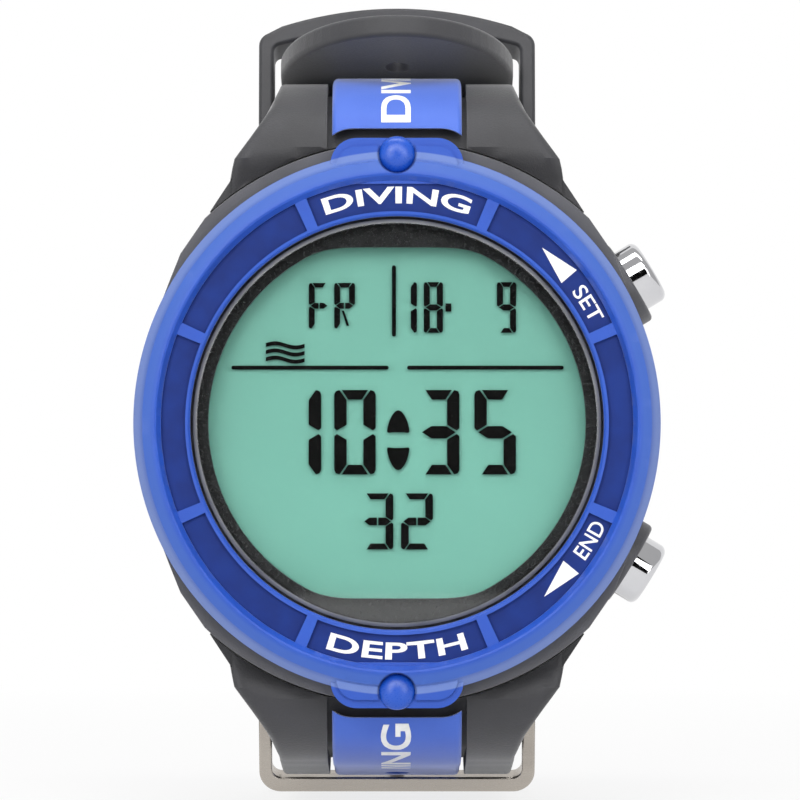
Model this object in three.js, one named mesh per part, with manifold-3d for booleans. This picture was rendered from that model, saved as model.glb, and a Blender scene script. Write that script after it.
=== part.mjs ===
// Wrist dive computer: a round case with a segment display and two push-buttons, on a rubber strap that is
// buckled in a loop. Millimetres. The face looks along -Y, 12 o'clock is +Z and the buttons are on +X.
// The origin is the centre of the lens's flat front face.

import * as THREE from 'three';
import { mergeVertices } from 'three/addons/utils/BufferGeometryUtils.js';
import Module from 'manifold-3d';

const wasm = await Module();
wasm.setup();

// ---------------------------------------------------------------- driving dimensions

const DEGREE = Math.PI / 180;
const GAP = 0.3;                 // running gap between neighbours that don't seal
const ROUND_SEGMENTS = 40;       // facets round the case, bezel and lens
const SMALL_SEGMENTS = 16;       // facets round pins, buttons and screws
const RING_SECTION_SIDES = 6;    // facets round an O-ring's section

const LENS_RADIUS = 19.35;
const LENS_THICKNESS = 2.4;
const LENS_CHAMFER = 0.35;

const BEZEL = { innerRadius: 19.6, ledgeRadius: 20.05, pocketRadius: 22.35, crestRadius: 22.95,
  chamferRadius: 24.1, outerRadius: 25.0, ledgeY: -0.9, floorY: -0.35, crestY: -1.6, backY: 1.8 };
const POCKET_RIB_ANGLES = [23.5, 66.5, 113.5, 156.5, 203.5, 246.5, 293.5, 336.5];
const POCKET_RIB_WIDTH = 3.0;    // degrees
const BEZEL_STEP = { y: 0.5, width: 1.7 };   // rebate behind the bezel, over the case's collar
const TAB = { halfWidth: 6.3, reach: 27.0, corner: 1.5, frontY: -0.3, rivetZ: 25.45 };
const RIVET = { domeRadius: 1.75, domeHeight: 0.85, shankRadius: 1.0, shankEndY: 6.0 };

const CASE = { frontY: 2.1, backY: 13.0, sideRadius: 24.9, lugRadius: 26.7, lugAngle: 43.2,
  cavityRadius: 18.65, seatRadius: 19.65, seatY: 2.9, collarRadius: 21.0, collarY: 0.8 };
const SHOULDER = [[20.6, 16.1], [21.6, 13.6], [22.9, 10.2]];   // outline corners between lug arc and side

const MASK = { outerRadius: 18.4, windowRadius: 17.95, flatZ: 16.7, frontY: 2.45, backY: 4.2 };
const LCD = { radius: 18.3, frontY: 4.3, backY: 5.9 };
const GASKET_SQUEEZE = 0.03;     // clearance that stands for a seal's contact
const BACKLIGHT = { radius: 16.4, flatZ: 12.5, frontY: 6.0, backY: 6.8 };
const ZEBRA = { halfLength: 7.0, nearZ: 13.2, farZ: 14.8, frontY: 6.0, backY: 8.5 };
const BOARD = { radius: 16.3, frontY: 8.6, backY: 9.6 };
const MODULE_FRAME = { innerRadius: 16.7, outerRadius: 18.35, frontY: 6.0, backY: 10.6 };
const FRAME_NOTCH = { near: 16, far: 19, halfWidth: 2.3, frontY: 5.8, backY: 9.75 };
const CHIP = { minX: 2.5, maxX: 10.5, minZ: -9, maxZ: -1, height: 1.3 };
const SOUNDER = { x: -6, z: 5, radius: 5, height: 1.6 };
const SWITCH = { near: 14.3, far: 16.3, halfWidth: 1.6, height: 1.6 };

const BACK = { outerRadius: 23.9, chamfer: 0.8, outerY: 16.2, spigotRadius: 18.35, spigotY: 12.0,
  cupOuterRadius: 13.8, cupInnerRadius: 12.6, cupFrontY: 10.2, cupFloorY: 11.2, ledgeY: 14.7, boreRadius: 14.3 };
const BACK_SEAL = { radius: 20.1, section: 0.45, grooveDepth: 0.95, y: 12.57 };
const BACK_SCREW = { ringRadius: 22.2, angles: [58, 122, 238, 302], headRadius: 1.5, headHeight: 1.2,
  shankRadius: 0.8, tipY: 8.6, slotWidth: 0.5, slotDepth: 0.5 };

const CELL = { radius: 12.25, frontY: 11.55, backY: 14.55 };
const NEGATIVE_CONTACT = { halfLength: 4, halfWidth: 1.5 };
const POSITIVE_CONTACT = { halfWidth: 1.2, frontY: 11.6, backY: 14.2, nearZ: 12.45, farZ: 12.75 };
const CONTACT_NOTCH = { halfWidth: 1.6, nearZ: 12.0, farZ: 13.1 };
const HATCH = { radius: 14.1, frontY: 14.75, slotLength: 15, slotWidth: 1.6, slotDepth: 0.8, tabOuter: 15.0,
  tabWidth: 5, tabRoot: 13, tabFrontY: 15.0, tabBackY: 15.5, tabAngles: [90, 210, 330], unlockAngle: 60,
  tabGap: 0.15, tabReachGap: 0.5, entryNear: 13.8, entryHalfWidth: 3 };
const HATCH_SEAL = { radius: 13.3, section: 0.38 };
const SENSOR = { x: -15.9, radius: 1.8, frontY: 9.65, backY: 13.6, boreRadius: 2.3, boreEndY: 13.7,
  portRadius: 0.6, portX: -16.5, sealRadius: 2.05, sealSection: 0.18, sealY: 12.9 };

const BUTTON = { angles: { upper: 31.25, lower: -31.25 }, y: 7.8, stemRadius: 1.15, stemEnd: 17.55,
  capRadius: 3.15, capFoot: 25.3, capFace: 28.5, capEdge: 0.6, springPocket: 27.3, skirtInner: 2.65 };
const STEM_SEAL = { radius: 1.54, section: 0.3 };
const CLIP = { inner: 0.95, outer: 1.75, near: 17.85, far: 18.15 };
const GUARD = { bore: 1.35, inner: 21.7, floor: 24.2, bodyRadius: 3.55, flangeRadius: 4.2, flangeFoot: 25.0,
  face: 26.2, cupRadius: 3.4, sealRadius: 1.95, sealNear: 22.4, sealFar: 23.2 };
const RETURN_SPRING = { coilRadius: 1.95, wireRadius: 0.2, near: 24.55, far: 27.0, turns: 3.5, steps: 42 };

const STRAP = { halfWidth: 11.4, rootHalfThickness: 2.6, shortHalfThickness: 1.4, longHalfThickness: 1.1,
  rootEnd: 6, taperEnd: 18, caseGap: 27.0, wingReach: 20.5 };
const WING = [[18.5, 19.3], [17.0, 21.6], [15.8, 23.4], [15.7, 25.0], [13.6, 27.9], [12.1, 30.2], [11.4, 32.2]];
const INLAY = { halfWidth: 6.2, sideGap: 0.5, proud: 0.55, depth: 0.9, floorGap: 0.3, start: 27.9 };
const HOLES = { count: 15, halfWidth: 1.2, halfLength: 1.5, used: 3, lastFromTip: 9.5 };
const TIP = { length: 14, inlayShort: 7.5, steps: 20 };
const UPPER_INLAY_SHORT = 12.5;  // the upper inlay ends this far before the buckle
const STRAP_PIN = { radius: 0.75, halfLength: 9.5, y: 8.7, z: 26.9 };
const LUG = { halfWidth: 4.5, radius: 1.45, webY: [7.3, 10.1], rootZ: 24, slotRootZ: 20, slotBackY: 14 };

// Middle line of each strap half in the Y-Z plane, from the case round to its far end.
const SHORT_LINE = [[6.9, 19], [6.9, 23.5], [8.0, 27.6], [11.2, 30.4], [15.0, 31.4], [19.5, 31.6], [25, 30.9],
  [32, 28.9], [39.5, 24.3], [46, 17], [50, 8], [51.5, -2], [50.6, -12], [47.8, -20.5], [43.6, -27]];
const LONG_LINE = [[6.9, -19], [6.9, -23.5], [8.0, -27.6], [11.2, -30.6], [15.5, -31.8], [21, -32.2], [28, -32.9],
  [36, -33.6], [43.6, -32.4], [49.2, -27.6], [52.7, -20.5], [54.3, -11.5], [54.6, -2], [53.1, 8.8], [48.8, 18.8],
  [41.5, 27.0], [33.5, 31.9], [28, 33.5], [23.5, 34.35], [19, 35.4], [14, 36.8], [8.6, 38.3]];

const BUCKLE = { y: 42.5, z: -28.5, tilt: 20.8, barRadius: 0.75, barHalfLength: 13.9, tubeRadius: 2.5,
  halfWidth: 14, innerHalfWidth: 12.7, thickness: 2.2, earTop: 1.9, barNear: -7.7, barFar: -9.3, corner: 2.2,
  boreRadius: 0.95 };
const PRONG = { halfWidth: 0.8, slotHalfWidth: 1.3, eyeInner: 0.95, eyeOuter: 1.75, rise: 0.6, thickness: 0.9,
  tip: -9.8, lean: 0.8, crossing: 4.2 };
const KEEPER = { y: 26, z: 30.75, tilt: -10.5, halfLength: 3.2, outerHalfWidth: 13.6, innerHalfWidth: 12.1,
  bottom: -3.6, floor: -2.5, shoulder: 7.2, crown: 9.8, ceiling: 6.0, ceilingCrown: 7.4 };

const COLOURS = {
  blueBezel: 0x2f5fc4, blueRubber: 0x4d74d0, blackCase: 0x3a3a3d, blackRubber: 0x3f4043, glass: 0xcfe3e0,
  maskBlack: 0x1c1c1e, displayGreen: 0x7ebeab, white: 0xe9ebe8, boardGreen: 0x1f6b44, chrome: 0xc9c9c9,
  steel: 0x9a958f, brass: 0xb9975b, springSteel: 0x8d8f92, seal: 0x252527,
};

// ---------------------------------------------------------------- solids

/** Turns a closed three.js geometry into a solid with outward faces. */
function toSolid(geometry) {
  geometry.deleteAttribute('normal');
  geometry.deleteAttribute('uv');
  const merged = mergeVertices(geometry, 1e-4);
  const corners = merged.index.array;
  const kept = [];
  for (let i = 0; i < corners.length; i += 3) {
    const [a, b, c] = [corners[i], corners[i + 1], corners[i + 2]];
    if (a !== b && b !== c && a !== c) kept.push(a, b, c);
  }
  const points = merged.attributes.position.array;
  return new wasm.Manifold(new wasm.Mesh({
    numProp: 3,
    vertProperties: points,
    triVerts: new Uint32Array(signedVolume(points, kept) < 0 ? kept.reverse() : kept),
  }));
}

/** Volume inside a triangle list, negative where its faces point inwards. */
function signedVolume(points, corners) {
  const [a, b, c] = [new THREE.Vector3(), new THREE.Vector3(), new THREE.Vector3()];
  let total = 0;
  for (let i = 0; i < corners.length; i += 3) {
    a.fromArray(points, corners[i] * 3);
    b.fromArray(points, corners[i + 1] * 3);
    c.fromArray(points, corners[i + 2] * 3);
    total += a.dot(b.cross(c)) / 6;
  }
  return total;
}

/** Solid of revolution about the Y axis. The profile is a list of [radius, y] and is closed for the caller. */
function turned(profile, segments = ROUND_SEGMENTS) {
  const points = profile.map(([radius, y]) => new THREE.Vector2(radius, y));
  const [first, last] = [points[0], points[points.length - 1]];
  if (first.x > 0 || last.x > 0) points.push(first.clone());
  return toSolid(new THREE.LatheGeometry(points, segments));
}

/** Flat ring or disc about the Y axis, between two heights. */
function ring(innerRadius, outerRadius, frontY, backY, segments = ROUND_SEGMENTS) {
  const outside = [[outerRadius, frontY], [outerRadius, backY]];
  if (innerRadius === 0) return turned([[0, frontY], ...outside, [0, backY]], segments);
  return turned([[innerRadius, frontY], ...outside, [innerRadius, backY]], segments);
}

/** O-ring about the Y axis. */
function sealRing(radius, section, y, segments = ROUND_SEGMENTS) {
  const profile = [];
  for (let i = 0; i < RING_SECTION_SIDES; i += 1) {
    const turn = (i + 0.5) / RING_SECTION_SIDES * 2 * Math.PI;
    profile.push([radius + section * Math.cos(turn), y + section * Math.sin(turn)]);
  }
  return turned(profile, segments);
}

/** Box between two corners. */
function block(x0, x1, y0, y1, z0, z1) {
  const geometry = new THREE.BoxGeometry(x1 - x0, y1 - y0, z1 - z0);
  geometry.translate((x0 + x1) / 2, (y0 + y1) / 2, (z0 + z1) / 2);
  return toSolid(geometry);
}

/** A front outline in X-Z, extruded from one Y to another. */
function frontPrism(shape, y0, y1, curveSegments = 8) {
  const geometry = new THREE.ExtrudeGeometry(shape, { depth: y1 - y0, bevelEnabled: false, curveSegments });
  geometry.rotateX(Math.PI / 2);
  geometry.translate(0, y1, 0);
  return toSolid(geometry);
}

/** A side outline in Y-Z, extruded across X. */
function sidePrism(shape, x0, x1) {
  const geometry = new THREE.ExtrudeGeometry(shape, { depth: x1 - x0, bevelEnabled: false, curveSegments: 12 });
  const turn = new THREE.Matrix4().makeBasis(
    new THREE.Vector3(0, 1, 0), new THREE.Vector3(0, 0, 1), new THREE.Vector3(1, 0, 0));
  geometry.applyMatrix4(turn);
  geometry.translate(x0, 0, 0);
  return toSolid(geometry);
}

/** Cylinder along X. */
function crossPin(radius, x0, x1, y, z) {
  const geometry = new THREE.CylinderGeometry(radius, radius, x1 - x0, SMALL_SEGMENTS);
  geometry.rotateZ(Math.PI / 2);
  geometry.translate((x0 + x1) / 2, y, z);
  return toSolid(geometry);
}

/** Cylinder along the Y axis through (x, z). */
function post(radius, x, z, y0, y1, segments = SMALL_SEGMENTS) {
  const geometry = new THREE.CylinderGeometry(radius, radius, y1 - y0, segments);
  geometry.translate(x, (y0 + y1) / 2, z);
  return toSolid(geometry);
}

/** The solid turned about the Y axis by an angle in degrees, from +X towards +Z. */
function aroundFace(solid, degrees) {
  return solid.rotate([0, -degrees, 0]);
}

/** Closed outline through straight corners. */
function outline(points) {
  return new THREE.Shape(points.map(([a, b]) => new THREE.Vector2(a, b)));
}

/** Point on a circle about the face centre, as [x, z]. */
function onFace(radius, degrees) {
  return [radius * Math.cos(degrees * DEGREE), radius * Math.sin(degrees * DEGREE)];
}

/** Solid joined from a list. */
function joined(solids) {
  return solids.reduce((all, solid) => all.add(solid));
}

/** Named mesh of a solid. */
function piece(name, solid, colour, roughness, metalness = 0) {
  const mesh = solid.getMesh();
  const geometry = new THREE.BufferGeometry();
  geometry.setAttribute('position', new THREE.BufferAttribute(new Float32Array(mesh.vertProperties), 3));
  geometry.setIndex(new THREE.BufferAttribute(new Uint32Array(mesh.triVerts), 1));
  geometry.computeVertexNormals();
  const made = new THREE.Mesh(geometry, new THREE.MeshStandardMaterial({ color: colour, roughness, metalness }));
  made.name = name;
  return made;
}

// ---------------------------------------------------------------- strap lines

/** A strap half's middle line, with even steps, and the outward normal at each. */
class StrapLine {
  constructor(points, side, endHalfThickness) {
    const places = points.map(([y, z]) => new THREE.Vector3(0, y, z));
    this.curve = new THREE.CatmullRomCurve3(places, false, 'centripetal');
    this.length = this.curve.getLength();
    this.side = side;
    this.endHalfThickness = endHalfThickness;
  }

  /** Point on the middle line at a distance from the case end, moved outwards by an offset. */
  at(distance, offset = 0) {
    const share = THREE.MathUtils.clamp(distance / this.length, 0, 1);
    const point = this.curve.getPointAt(share);
    const way = this.curve.getTangentAt(share);
    return [point.y - this.side * way.z * offset, point.z + this.side * way.y * offset];
  }

  /** Direction along the line at a distance, as an angle about X from +Y towards +Z. */
  angleAt(distance) {
    const way = this.curve.getTangentAt(THREE.MathUtils.clamp(distance / this.length, 0, 1));
    return Math.atan2(way.z, way.y);
  }

  /** Half the strap's thickness: thick at the case, thin from there on. */
  halfThickness(distance) {
    const share = THREE.MathUtils.smoothstep(distance, STRAP.rootEnd, STRAP.taperEnd);
    return THREE.MathUtils.lerp(STRAP.rootHalfThickness, this.endHalfThickness, share);
  }

  /** Band that follows the line between two distances, from one offset function to another. */
  band(from, to, inner, outer, halfWidth, steps = 36) {
    const outside = [];
    const inside = [];
    for (let i = 0; i <= steps; i += 1) {
      const distance = THREE.MathUtils.lerp(from, to, i / steps);
      outside.push(this.at(distance, outer(distance)));
      inside.unshift(this.at(distance, inner(distance)));
    }
    return sidePrism(outline([...outside, ...inside]), -halfWidth, halfWidth);
  }

  /** Distance along the line of the place nearest to a point. */
  nearest(y, z) {
    const steps = 2000;
    let best = 0;
    let least = Infinity;
    for (let i = 0; i <= steps; i += 1) {
      const point = this.curve.getPointAt(i / steps);
      const away = Math.hypot(point.y - y, point.z - z);
      if (away < least) [best, least] = [i / steps, away];
    }
    return best * this.length;
  }
}

const shortLine = new StrapLine(SHORT_LINE, 1, STRAP.shortHalfThickness);
const longLine = new StrapLine(LONG_LINE, -1, STRAP.longHalfThickness);

/** Where the prong goes through the long strap, as a distance along it. */
function prongCrossing() {
  const tilt = BUCKLE.tilt * DEGREE;
  const aside = PRONG.rise + PRONG.thickness / 2 - PRONG.lean * PRONG.crossing / PRONG.tip;
  return longLine.nearest(
    BUCKLE.y + PRONG.crossing * Math.sin(tilt) + aside * Math.cos(tilt),
    BUCKLE.z - PRONG.crossing * Math.cos(tilt) + aside * Math.sin(tilt));
}

/** Distances along the long strap of its adjusting holes. The prong is in the third. */
function holeDistances() {
  const used = prongCrossing();
  const last = longLine.length - HOLES.lastFromTip;
  const pitch = (last - used) / (HOLES.count - HOLES.used);
  return Array.from({ length: HOLES.count }, (_, i) => used + (i + 1 - HOLES.used) * pitch);
}

/** Cutter for one adjusting hole. */
function holeCutter(distance) {
  const geometry = new THREE.CylinderGeometry(1, 1, 8, 8);
  geometry.scale(HOLES.halfWidth, 1, HOLES.halfLength);
  geometry.rotateX(longLine.angleAt(distance) + Math.PI / 2);
  const [y, z] = longLine.at(distance);
  geometry.translate(0, y, z);
  return toSolid(geometry);
}

// ---------------------------------------------------------------- case

/** Front outline of the case: a round side, shoulders, and an arc that the strap's end hugs. */
function caseOutline() {
  const points = [];
  const quarter = [];
  for (let angle = 0; angle <= 24; angle += 4) quarter.push(onFace(CASE.sideRadius, angle));
  quarter.push(...[...SHOULDER].reverse());
  for (let i = 0; i <= 8; i += 1) {
    quarter.push(onFace(CASE.lugRadius, THREE.MathUtils.lerp(90 - CASE.lugAngle, 90, i / 8)));
  }
  points.push(...quarter);
  points.push(...[...quarter].reverse().slice(1).map(([x, z]) => [-x, z]));
  points.push(...quarter.slice(1).map(([x, z]) => [-x, -z]));
  points.push(...[...quarter].reverse().slice(1, -1).map(([x, z]) => [x, -z]));
  return outline(points);
}

/** Lug that the strap's end fits over, at 12 (side 1) or 6 o'clock (side -1), without its pin hole. */
function strapLug(side) {
  const z = side * STRAP_PIN.z;
  const knuckle = crossPin(LUG.radius, -LUG.halfWidth, LUG.halfWidth, STRAP_PIN.y, z);
  const [low, high] = side > 0 ? [LUG.rootZ, z] : [z, -LUG.rootZ];
  return knuckle.add(block(-LUG.halfWidth, LUG.halfWidth, ...LUG.webY, low, high));
}

/** Bore in the case for a button: stem hole, bush seat, at its angle. */
function buttonBore(degrees) {
  const profile = [[0, 17], [GUARD.bore + 0.05, 17], [GUARD.bore + 0.05, GUARD.inner - GAP],
    [GUARD.bodyRadius + GAP, GUARD.inner - GAP], [GUARD.bodyRadius + GAP, GUARD.flangeFoot - GAP],
    [GUARD.flangeRadius + GAP, GUARD.flangeFoot - GAP], [GUARD.flangeRadius + GAP, 30], [0, 30]];
  const bore = turned(profile, SMALL_SEGMENTS).rotate([0, 0, -90]);
  return aroundFace(bore, degrees).translate([0, BUTTON.y, 0]);
}

function caseBody() {
  let body = frontPrism(caseOutline(), CASE.frontY, CASE.backY);
  body = body.add(ring(CASE.seatRadius, CASE.collarRadius, CASE.collarY, CASE.frontY + 1));
  body = body.subtract(ring(0, CASE.seatRadius, 0, CASE.seatY));
  body = body.subtract(ring(0, CASE.cavityRadius, 0, CASE.backY + 1));
  const sealOuter = BACK_SEAL.radius + BACK_SEAL.section + 0.1;
  const sealInner = BACK_SEAL.radius - BACK_SEAL.section - 0.1;
  body = body.subtract(ring(sealInner, sealOuter, CASE.backY - BACK_SEAL.grooveDepth, CASE.backY + 1));
  for (const side of [1, -1]) {
    body = body.add(strapLug(side));
    const z = side * STRAP_PIN.z;
    body = body.subtract(crossPin(STRAP_PIN.radius + 0.1, -12, 12, STRAP_PIN.y, z));
    body = body.subtract(post(RIVET.shankRadius + 0.1, 0, side * TAB.rivetZ, 0, RIVET.shankEndY + GAP));
  }
  for (const degrees of Object.values(BUTTON.angles)) body = body.subtract(buttonBore(degrees));
  for (const degrees of BACK_SCREW.angles) {
    const [x, z] = onFace(BACK_SCREW.ringRadius, degrees);
    body = body.subtract(post(BACK_SCREW.shankRadius + 0.1, x, z, BACK_SCREW.tipY - GAP, CASE.backY + 1));
  }
  return piece('case_body', body, COLOURS.blackCase, 0.55);
}

/** Recess between two ribs of the bezel. */
function bezelPocket(fromDegrees, toDegrees) {
  const shape = new THREE.Shape();
  const half = POCKET_RIB_WIDTH / 2;
  const [from, to] = [(fromDegrees + half) * DEGREE, (toDegrees - half) * DEGREE];
  shape.absarc(0, 0, BEZEL.pocketRadius, from, to, false);
  shape.absarc(0, 0, BEZEL.ledgeRadius, to, from, true);
  return frontPrism(shape, BEZEL.crestY - 1, BEZEL.floorY, 4);
}

/** Rounded tab of the bezel at 12 (side 1) or 6 o'clock (side -1). */
function bezelTab(side) {
  const { halfWidth, reach, corner } = TAB;
  const root = BEZEL.pocketRadius + 0.15;
  const shape = new THREE.Shape();
  shape.moveTo(-halfWidth, root);
  shape.lineTo(halfWidth, root);
  shape.lineTo(halfWidth, reach - corner);
  shape.absarc(halfWidth - corner, reach - corner, corner, 0, Math.PI / 2, false);
  shape.absarc(-halfWidth + corner, reach - corner, corner, Math.PI / 2, Math.PI, false);
  const tab = frontPrism(shape, TAB.frontY, BEZEL.backY);
  return side > 0 ? tab : aroundFace(tab, 180);
}

function bezelRing() {
  const b = BEZEL;
  const step = BEZEL_STEP;
  let body = turned([[24.6, b.backY], [b.outerRadius, 1.2], [b.outerRadius, 0.3], [b.chamferRadius, -1.15],
    [b.crestRadius, b.crestY], [b.pocketRadius + 0.1, b.ledgeY], [b.innerRadius + 0.3, b.ledgeY],
    [b.innerRadius, b.ledgeY + 0.3], [b.innerRadius, step.y], [b.innerRadius + step.width, step.y],
    [b.innerRadius + step.width, b.backY]]);
  POCKET_RIB_ANGLES.forEach((angle, i) => {
    const next = POCKET_RIB_ANGLES[(i + 1) % POCKET_RIB_ANGLES.length];
    body = body.subtract(bezelPocket(angle, next > angle ? next : next + 360));
  });
  for (const side of [1, -1]) {
    const z = side * TAB.rivetZ;
    body = body.add(bezelTab(side));
    body = body.subtract(post(RIVET.domeRadius + 0.15, 0, z, -3, TAB.frontY));
    body = body.subtract(post(RIVET.shankRadius + 0.1, 0, z, -3, 3));
  }
  return piece('bezel_ring', body, COLOURS.blueBezel, 0.5);
}

function bezelRivet(name, side) {
  const r = RIVET;
  const foot = TAB.frontY - 0.03;
  const body = turned([[0, foot - r.domeHeight], [r.domeRadius * 0.55, foot - r.domeHeight * 0.85],
    [r.domeRadius * 0.9, foot - r.domeHeight * 0.4], [r.domeRadius, foot], [r.shankRadius, foot],
    [r.shankRadius, r.shankEndY], [0, r.shankEndY]], SMALL_SEGMENTS);
  const made = piece(name, body, COLOURS.blueBezel, 0.45);
  made.position.set(0, 0, side * TAB.rivetZ);
  return made;
}

// ---------------------------------------------------------------- display module

/** Round plate with two flats, as a front outline. */
function flattedDisc(radius, flatZ) {
  const half = Math.asin(flatZ / radius);
  const shape = new THREE.Shape();
  shape.absarc(0, 0, radius, -half, half, false);
  shape.absarc(0, 0, radius, Math.PI - half, Math.PI + half, false);
  return shape;
}

function lens() {
  const body = turned([[0, 0], [LENS_RADIUS - LENS_CHAMFER, 0], [LENS_RADIUS, LENS_CHAMFER],
    [LENS_RADIUS, LENS_THICKNESS], [0, LENS_THICKNESS]]);
  return piece('lens', body, COLOURS.glass, 0.05);
}

function displayMask() {
  const window = frontPrism(flattedDisc(MASK.windowRadius, MASK.flatZ), MASK.frontY - 1, MASK.backY + 1);
  const body = ring(0, MASK.outerRadius, MASK.frontY, MASK.backY).subtract(window);
  return piece('display_mask', body, COLOURS.maskBlack, 0.4);
}

function moduleFrame() {
  const f = MODULE_FRAME;
  let body = ring(f.innerRadius, f.outerRadius, f.frontY, f.backY);
  for (const degrees of Object.values(BUTTON.angles)) {
    const notch = block(FRAME_NOTCH.near, FRAME_NOTCH.far, FRAME_NOTCH.frontY, FRAME_NOTCH.backY,
      -FRAME_NOTCH.halfWidth, FRAME_NOTCH.halfWidth);
    body = body.subtract(aroundFace(notch, degrees));
  }
  const sensorReach = SENSOR.radius + GAP;
  body = body.subtract(block(-19, SENSOR.x + sensorReach, SENSOR.frontY - GAP, 11, -sensorReach, sensorReach));
  return piece('module_frame', body, COLOURS.white, 0.6);
}

function displayModule() {
  const group = new THREE.Group();
  const gasket = ring(CASE.cavityRadius + 0.1, LENS_RADIUS, LENS_THICKNESS + GASKET_SQUEEZE,
    CASE.seatY - GASKET_SQUEEZE);
  const light = frontPrism(flattedDisc(BACKLIGHT.radius, BACKLIGHT.flatZ), BACKLIGHT.frontY, BACKLIGHT.backY);
  const { halfLength, nearZ, farZ, frontY, backY } = ZEBRA;
  const upper = block(-halfLength, halfLength, frontY, backY, nearZ, farZ);
  const lower = block(-halfLength, halfLength, frontY, backY, -farZ, -nearZ);
  const boardFace = BOARD.frontY - GASKET_SQUEEZE;
  const chip = block(CHIP.minX, CHIP.maxX, BOARD.frontY - CHIP.height, boardFace, CHIP.minZ, CHIP.maxZ);
  const sounder = post(SOUNDER.radius, SOUNDER.x, SOUNDER.z, BOARD.frontY - SOUNDER.height, boardFace);
  group.add(
    lens(),
    piece('lens_gasket', gasket, COLOURS.seal, 0.7),
    displayMask(),
    piece('lcd_panel', ring(0, LCD.radius, LCD.frontY, LCD.backY), COLOURS.displayGreen, 0.25),
    piece('backlight_plate', light, COLOURS.white, 0.3),
    piece('connector_strip_upper', upper, COLOURS.seal, 0.7),
    piece('connector_strip_lower', lower, COLOURS.seal, 0.7),
    moduleFrame(),
    piece('circuit_board', ring(0, BOARD.radius, BOARD.frontY, BOARD.backY), COLOURS.boardGreen, 0.5),
    piece('processor_chip', chip, COLOURS.seal, 0.4),
    piece('sounder_disc', sounder, COLOURS.brass, 0.35, 0.9));
  return group;
}

// ---------------------------------------------------------------- back cover, battery and sensor

function backCover() {
  const b = BACK;
  let body = turned([[0, b.cupFrontY], [b.cupOuterRadius, b.cupFrontY], [b.cupOuterRadius, b.spigotY],
    [b.spigotRadius, b.spigotY], [b.spigotRadius, CASE.backY + 0.03], [b.outerRadius, CASE.backY + 0.03],
    [b.outerRadius, b.outerY - b.chamfer], [b.outerRadius - b.chamfer, b.outerY], [b.boreRadius, b.outerY],
    [b.boreRadius, b.ledgeY], [b.cupInnerRadius, b.ledgeY], [b.cupInnerRadius, b.cupFloorY], [0, b.cupFloorY]]);
  const groove = HATCH_SEAL.section + 0.07;
  const { tabGap, entryHalfWidth } = HATCH;
  const sealGroove = ring(HATCH_SEAL.radius - groove, HATCH_SEAL.radius + groove, b.ledgeY - 2 * groove + 0.05,
    b.ledgeY + 0.05);
  const tabGroove = ring(HATCH.radius, HATCH.tabOuter + HATCH.tabReachGap, HATCH.tabFrontY - tabGap,
    HATCH.tabBackY + tabGap);
  body = body.subtract(sealGroove).subtract(tabGroove);
  for (const angle of HATCH.tabAngles) {
    const entry = block(HATCH.entryNear, HATCH.tabOuter + HATCH.tabReachGap - 0.1, HATCH.tabFrontY, b.outerY + 1,
      -entryHalfWidth, entryHalfWidth);
    body = body.subtract(aroundFace(entry, angle + HATCH.unlockAngle));
  }
  const notch = CONTACT_NOTCH;
  body = body.subtract(block(-notch.halfWidth, notch.halfWidth, b.cupFloorY, b.ledgeY, notch.nearZ, notch.farZ));
  body = body.subtract(post(SENSOR.boreRadius, SENSOR.x, 0, b.spigotY - 1, SENSOR.boreEndY));
  body = body.subtract(post(SENSOR.portRadius, SENSOR.portX, 0, SENSOR.boreEndY - 1, b.outerY + 1, 12));
  const headSeatY = b.outerY - BACK_SCREW.headHeight - 0.03;
  for (const degrees of BACK_SCREW.angles) {
    const [x, z] = onFace(BACK_SCREW.ringRadius, degrees);
    body = body.subtract(post(BACK_SCREW.shankRadius + 0.1, x, z, CASE.backY - 1, b.outerY + 1));
    body = body.subtract(post(BACK_SCREW.headRadius + 0.15, x, z, headSeatY, b.outerY + 1));
  }
  return piece('back_cover', body, COLOURS.blackCase, 0.5);
}

function backScrew(index, degrees) {
  const s = BACK_SCREW;
  const headY = BACK.outerY - s.headHeight;
  let body = turned([[0, s.tipY], [s.shankRadius, s.tipY + 0.5], [s.shankRadius, headY], [s.headRadius, headY],
    [s.headRadius, BACK.outerY - 0.15], [0, BACK.outerY - 0.15]], SMALL_SEGMENTS);
  const slot = block(-2, 2, BACK.outerY - 0.15 - s.slotDepth, BACK.outerY + 1, -s.slotWidth / 2, s.slotWidth / 2);
  body = body.subtract(slot);
  const made = piece(`back_screw_${index}`, body, COLOURS.steel, 0.3, 1);
  const [x, z] = onFace(s.ringRadius, degrees);
  made.position.set(x, 0, z);
  return made;
}

function batteryCover() {
  const h = HATCH;
  let body = ring(0, h.radius, h.frontY, BACK.outerY);
  for (const angle of h.tabAngles) {
    const half = h.tabWidth / 2;
    body = body.add(aroundFace(block(h.tabRoot, h.tabOuter, h.tabFrontY, h.tabBackY, -half, half), angle));
  }
  const slotFloor = BACK.outerY - h.slotDepth;
  body = body.subtract(block(-h.slotLength / 2, h.slotLength / 2, slotFloor, BACK.outerY + 1,
    -h.slotWidth / 2, h.slotWidth / 2));
  return piece('battery_cover', body, COLOURS.blackCase, 0.45);
}

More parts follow.
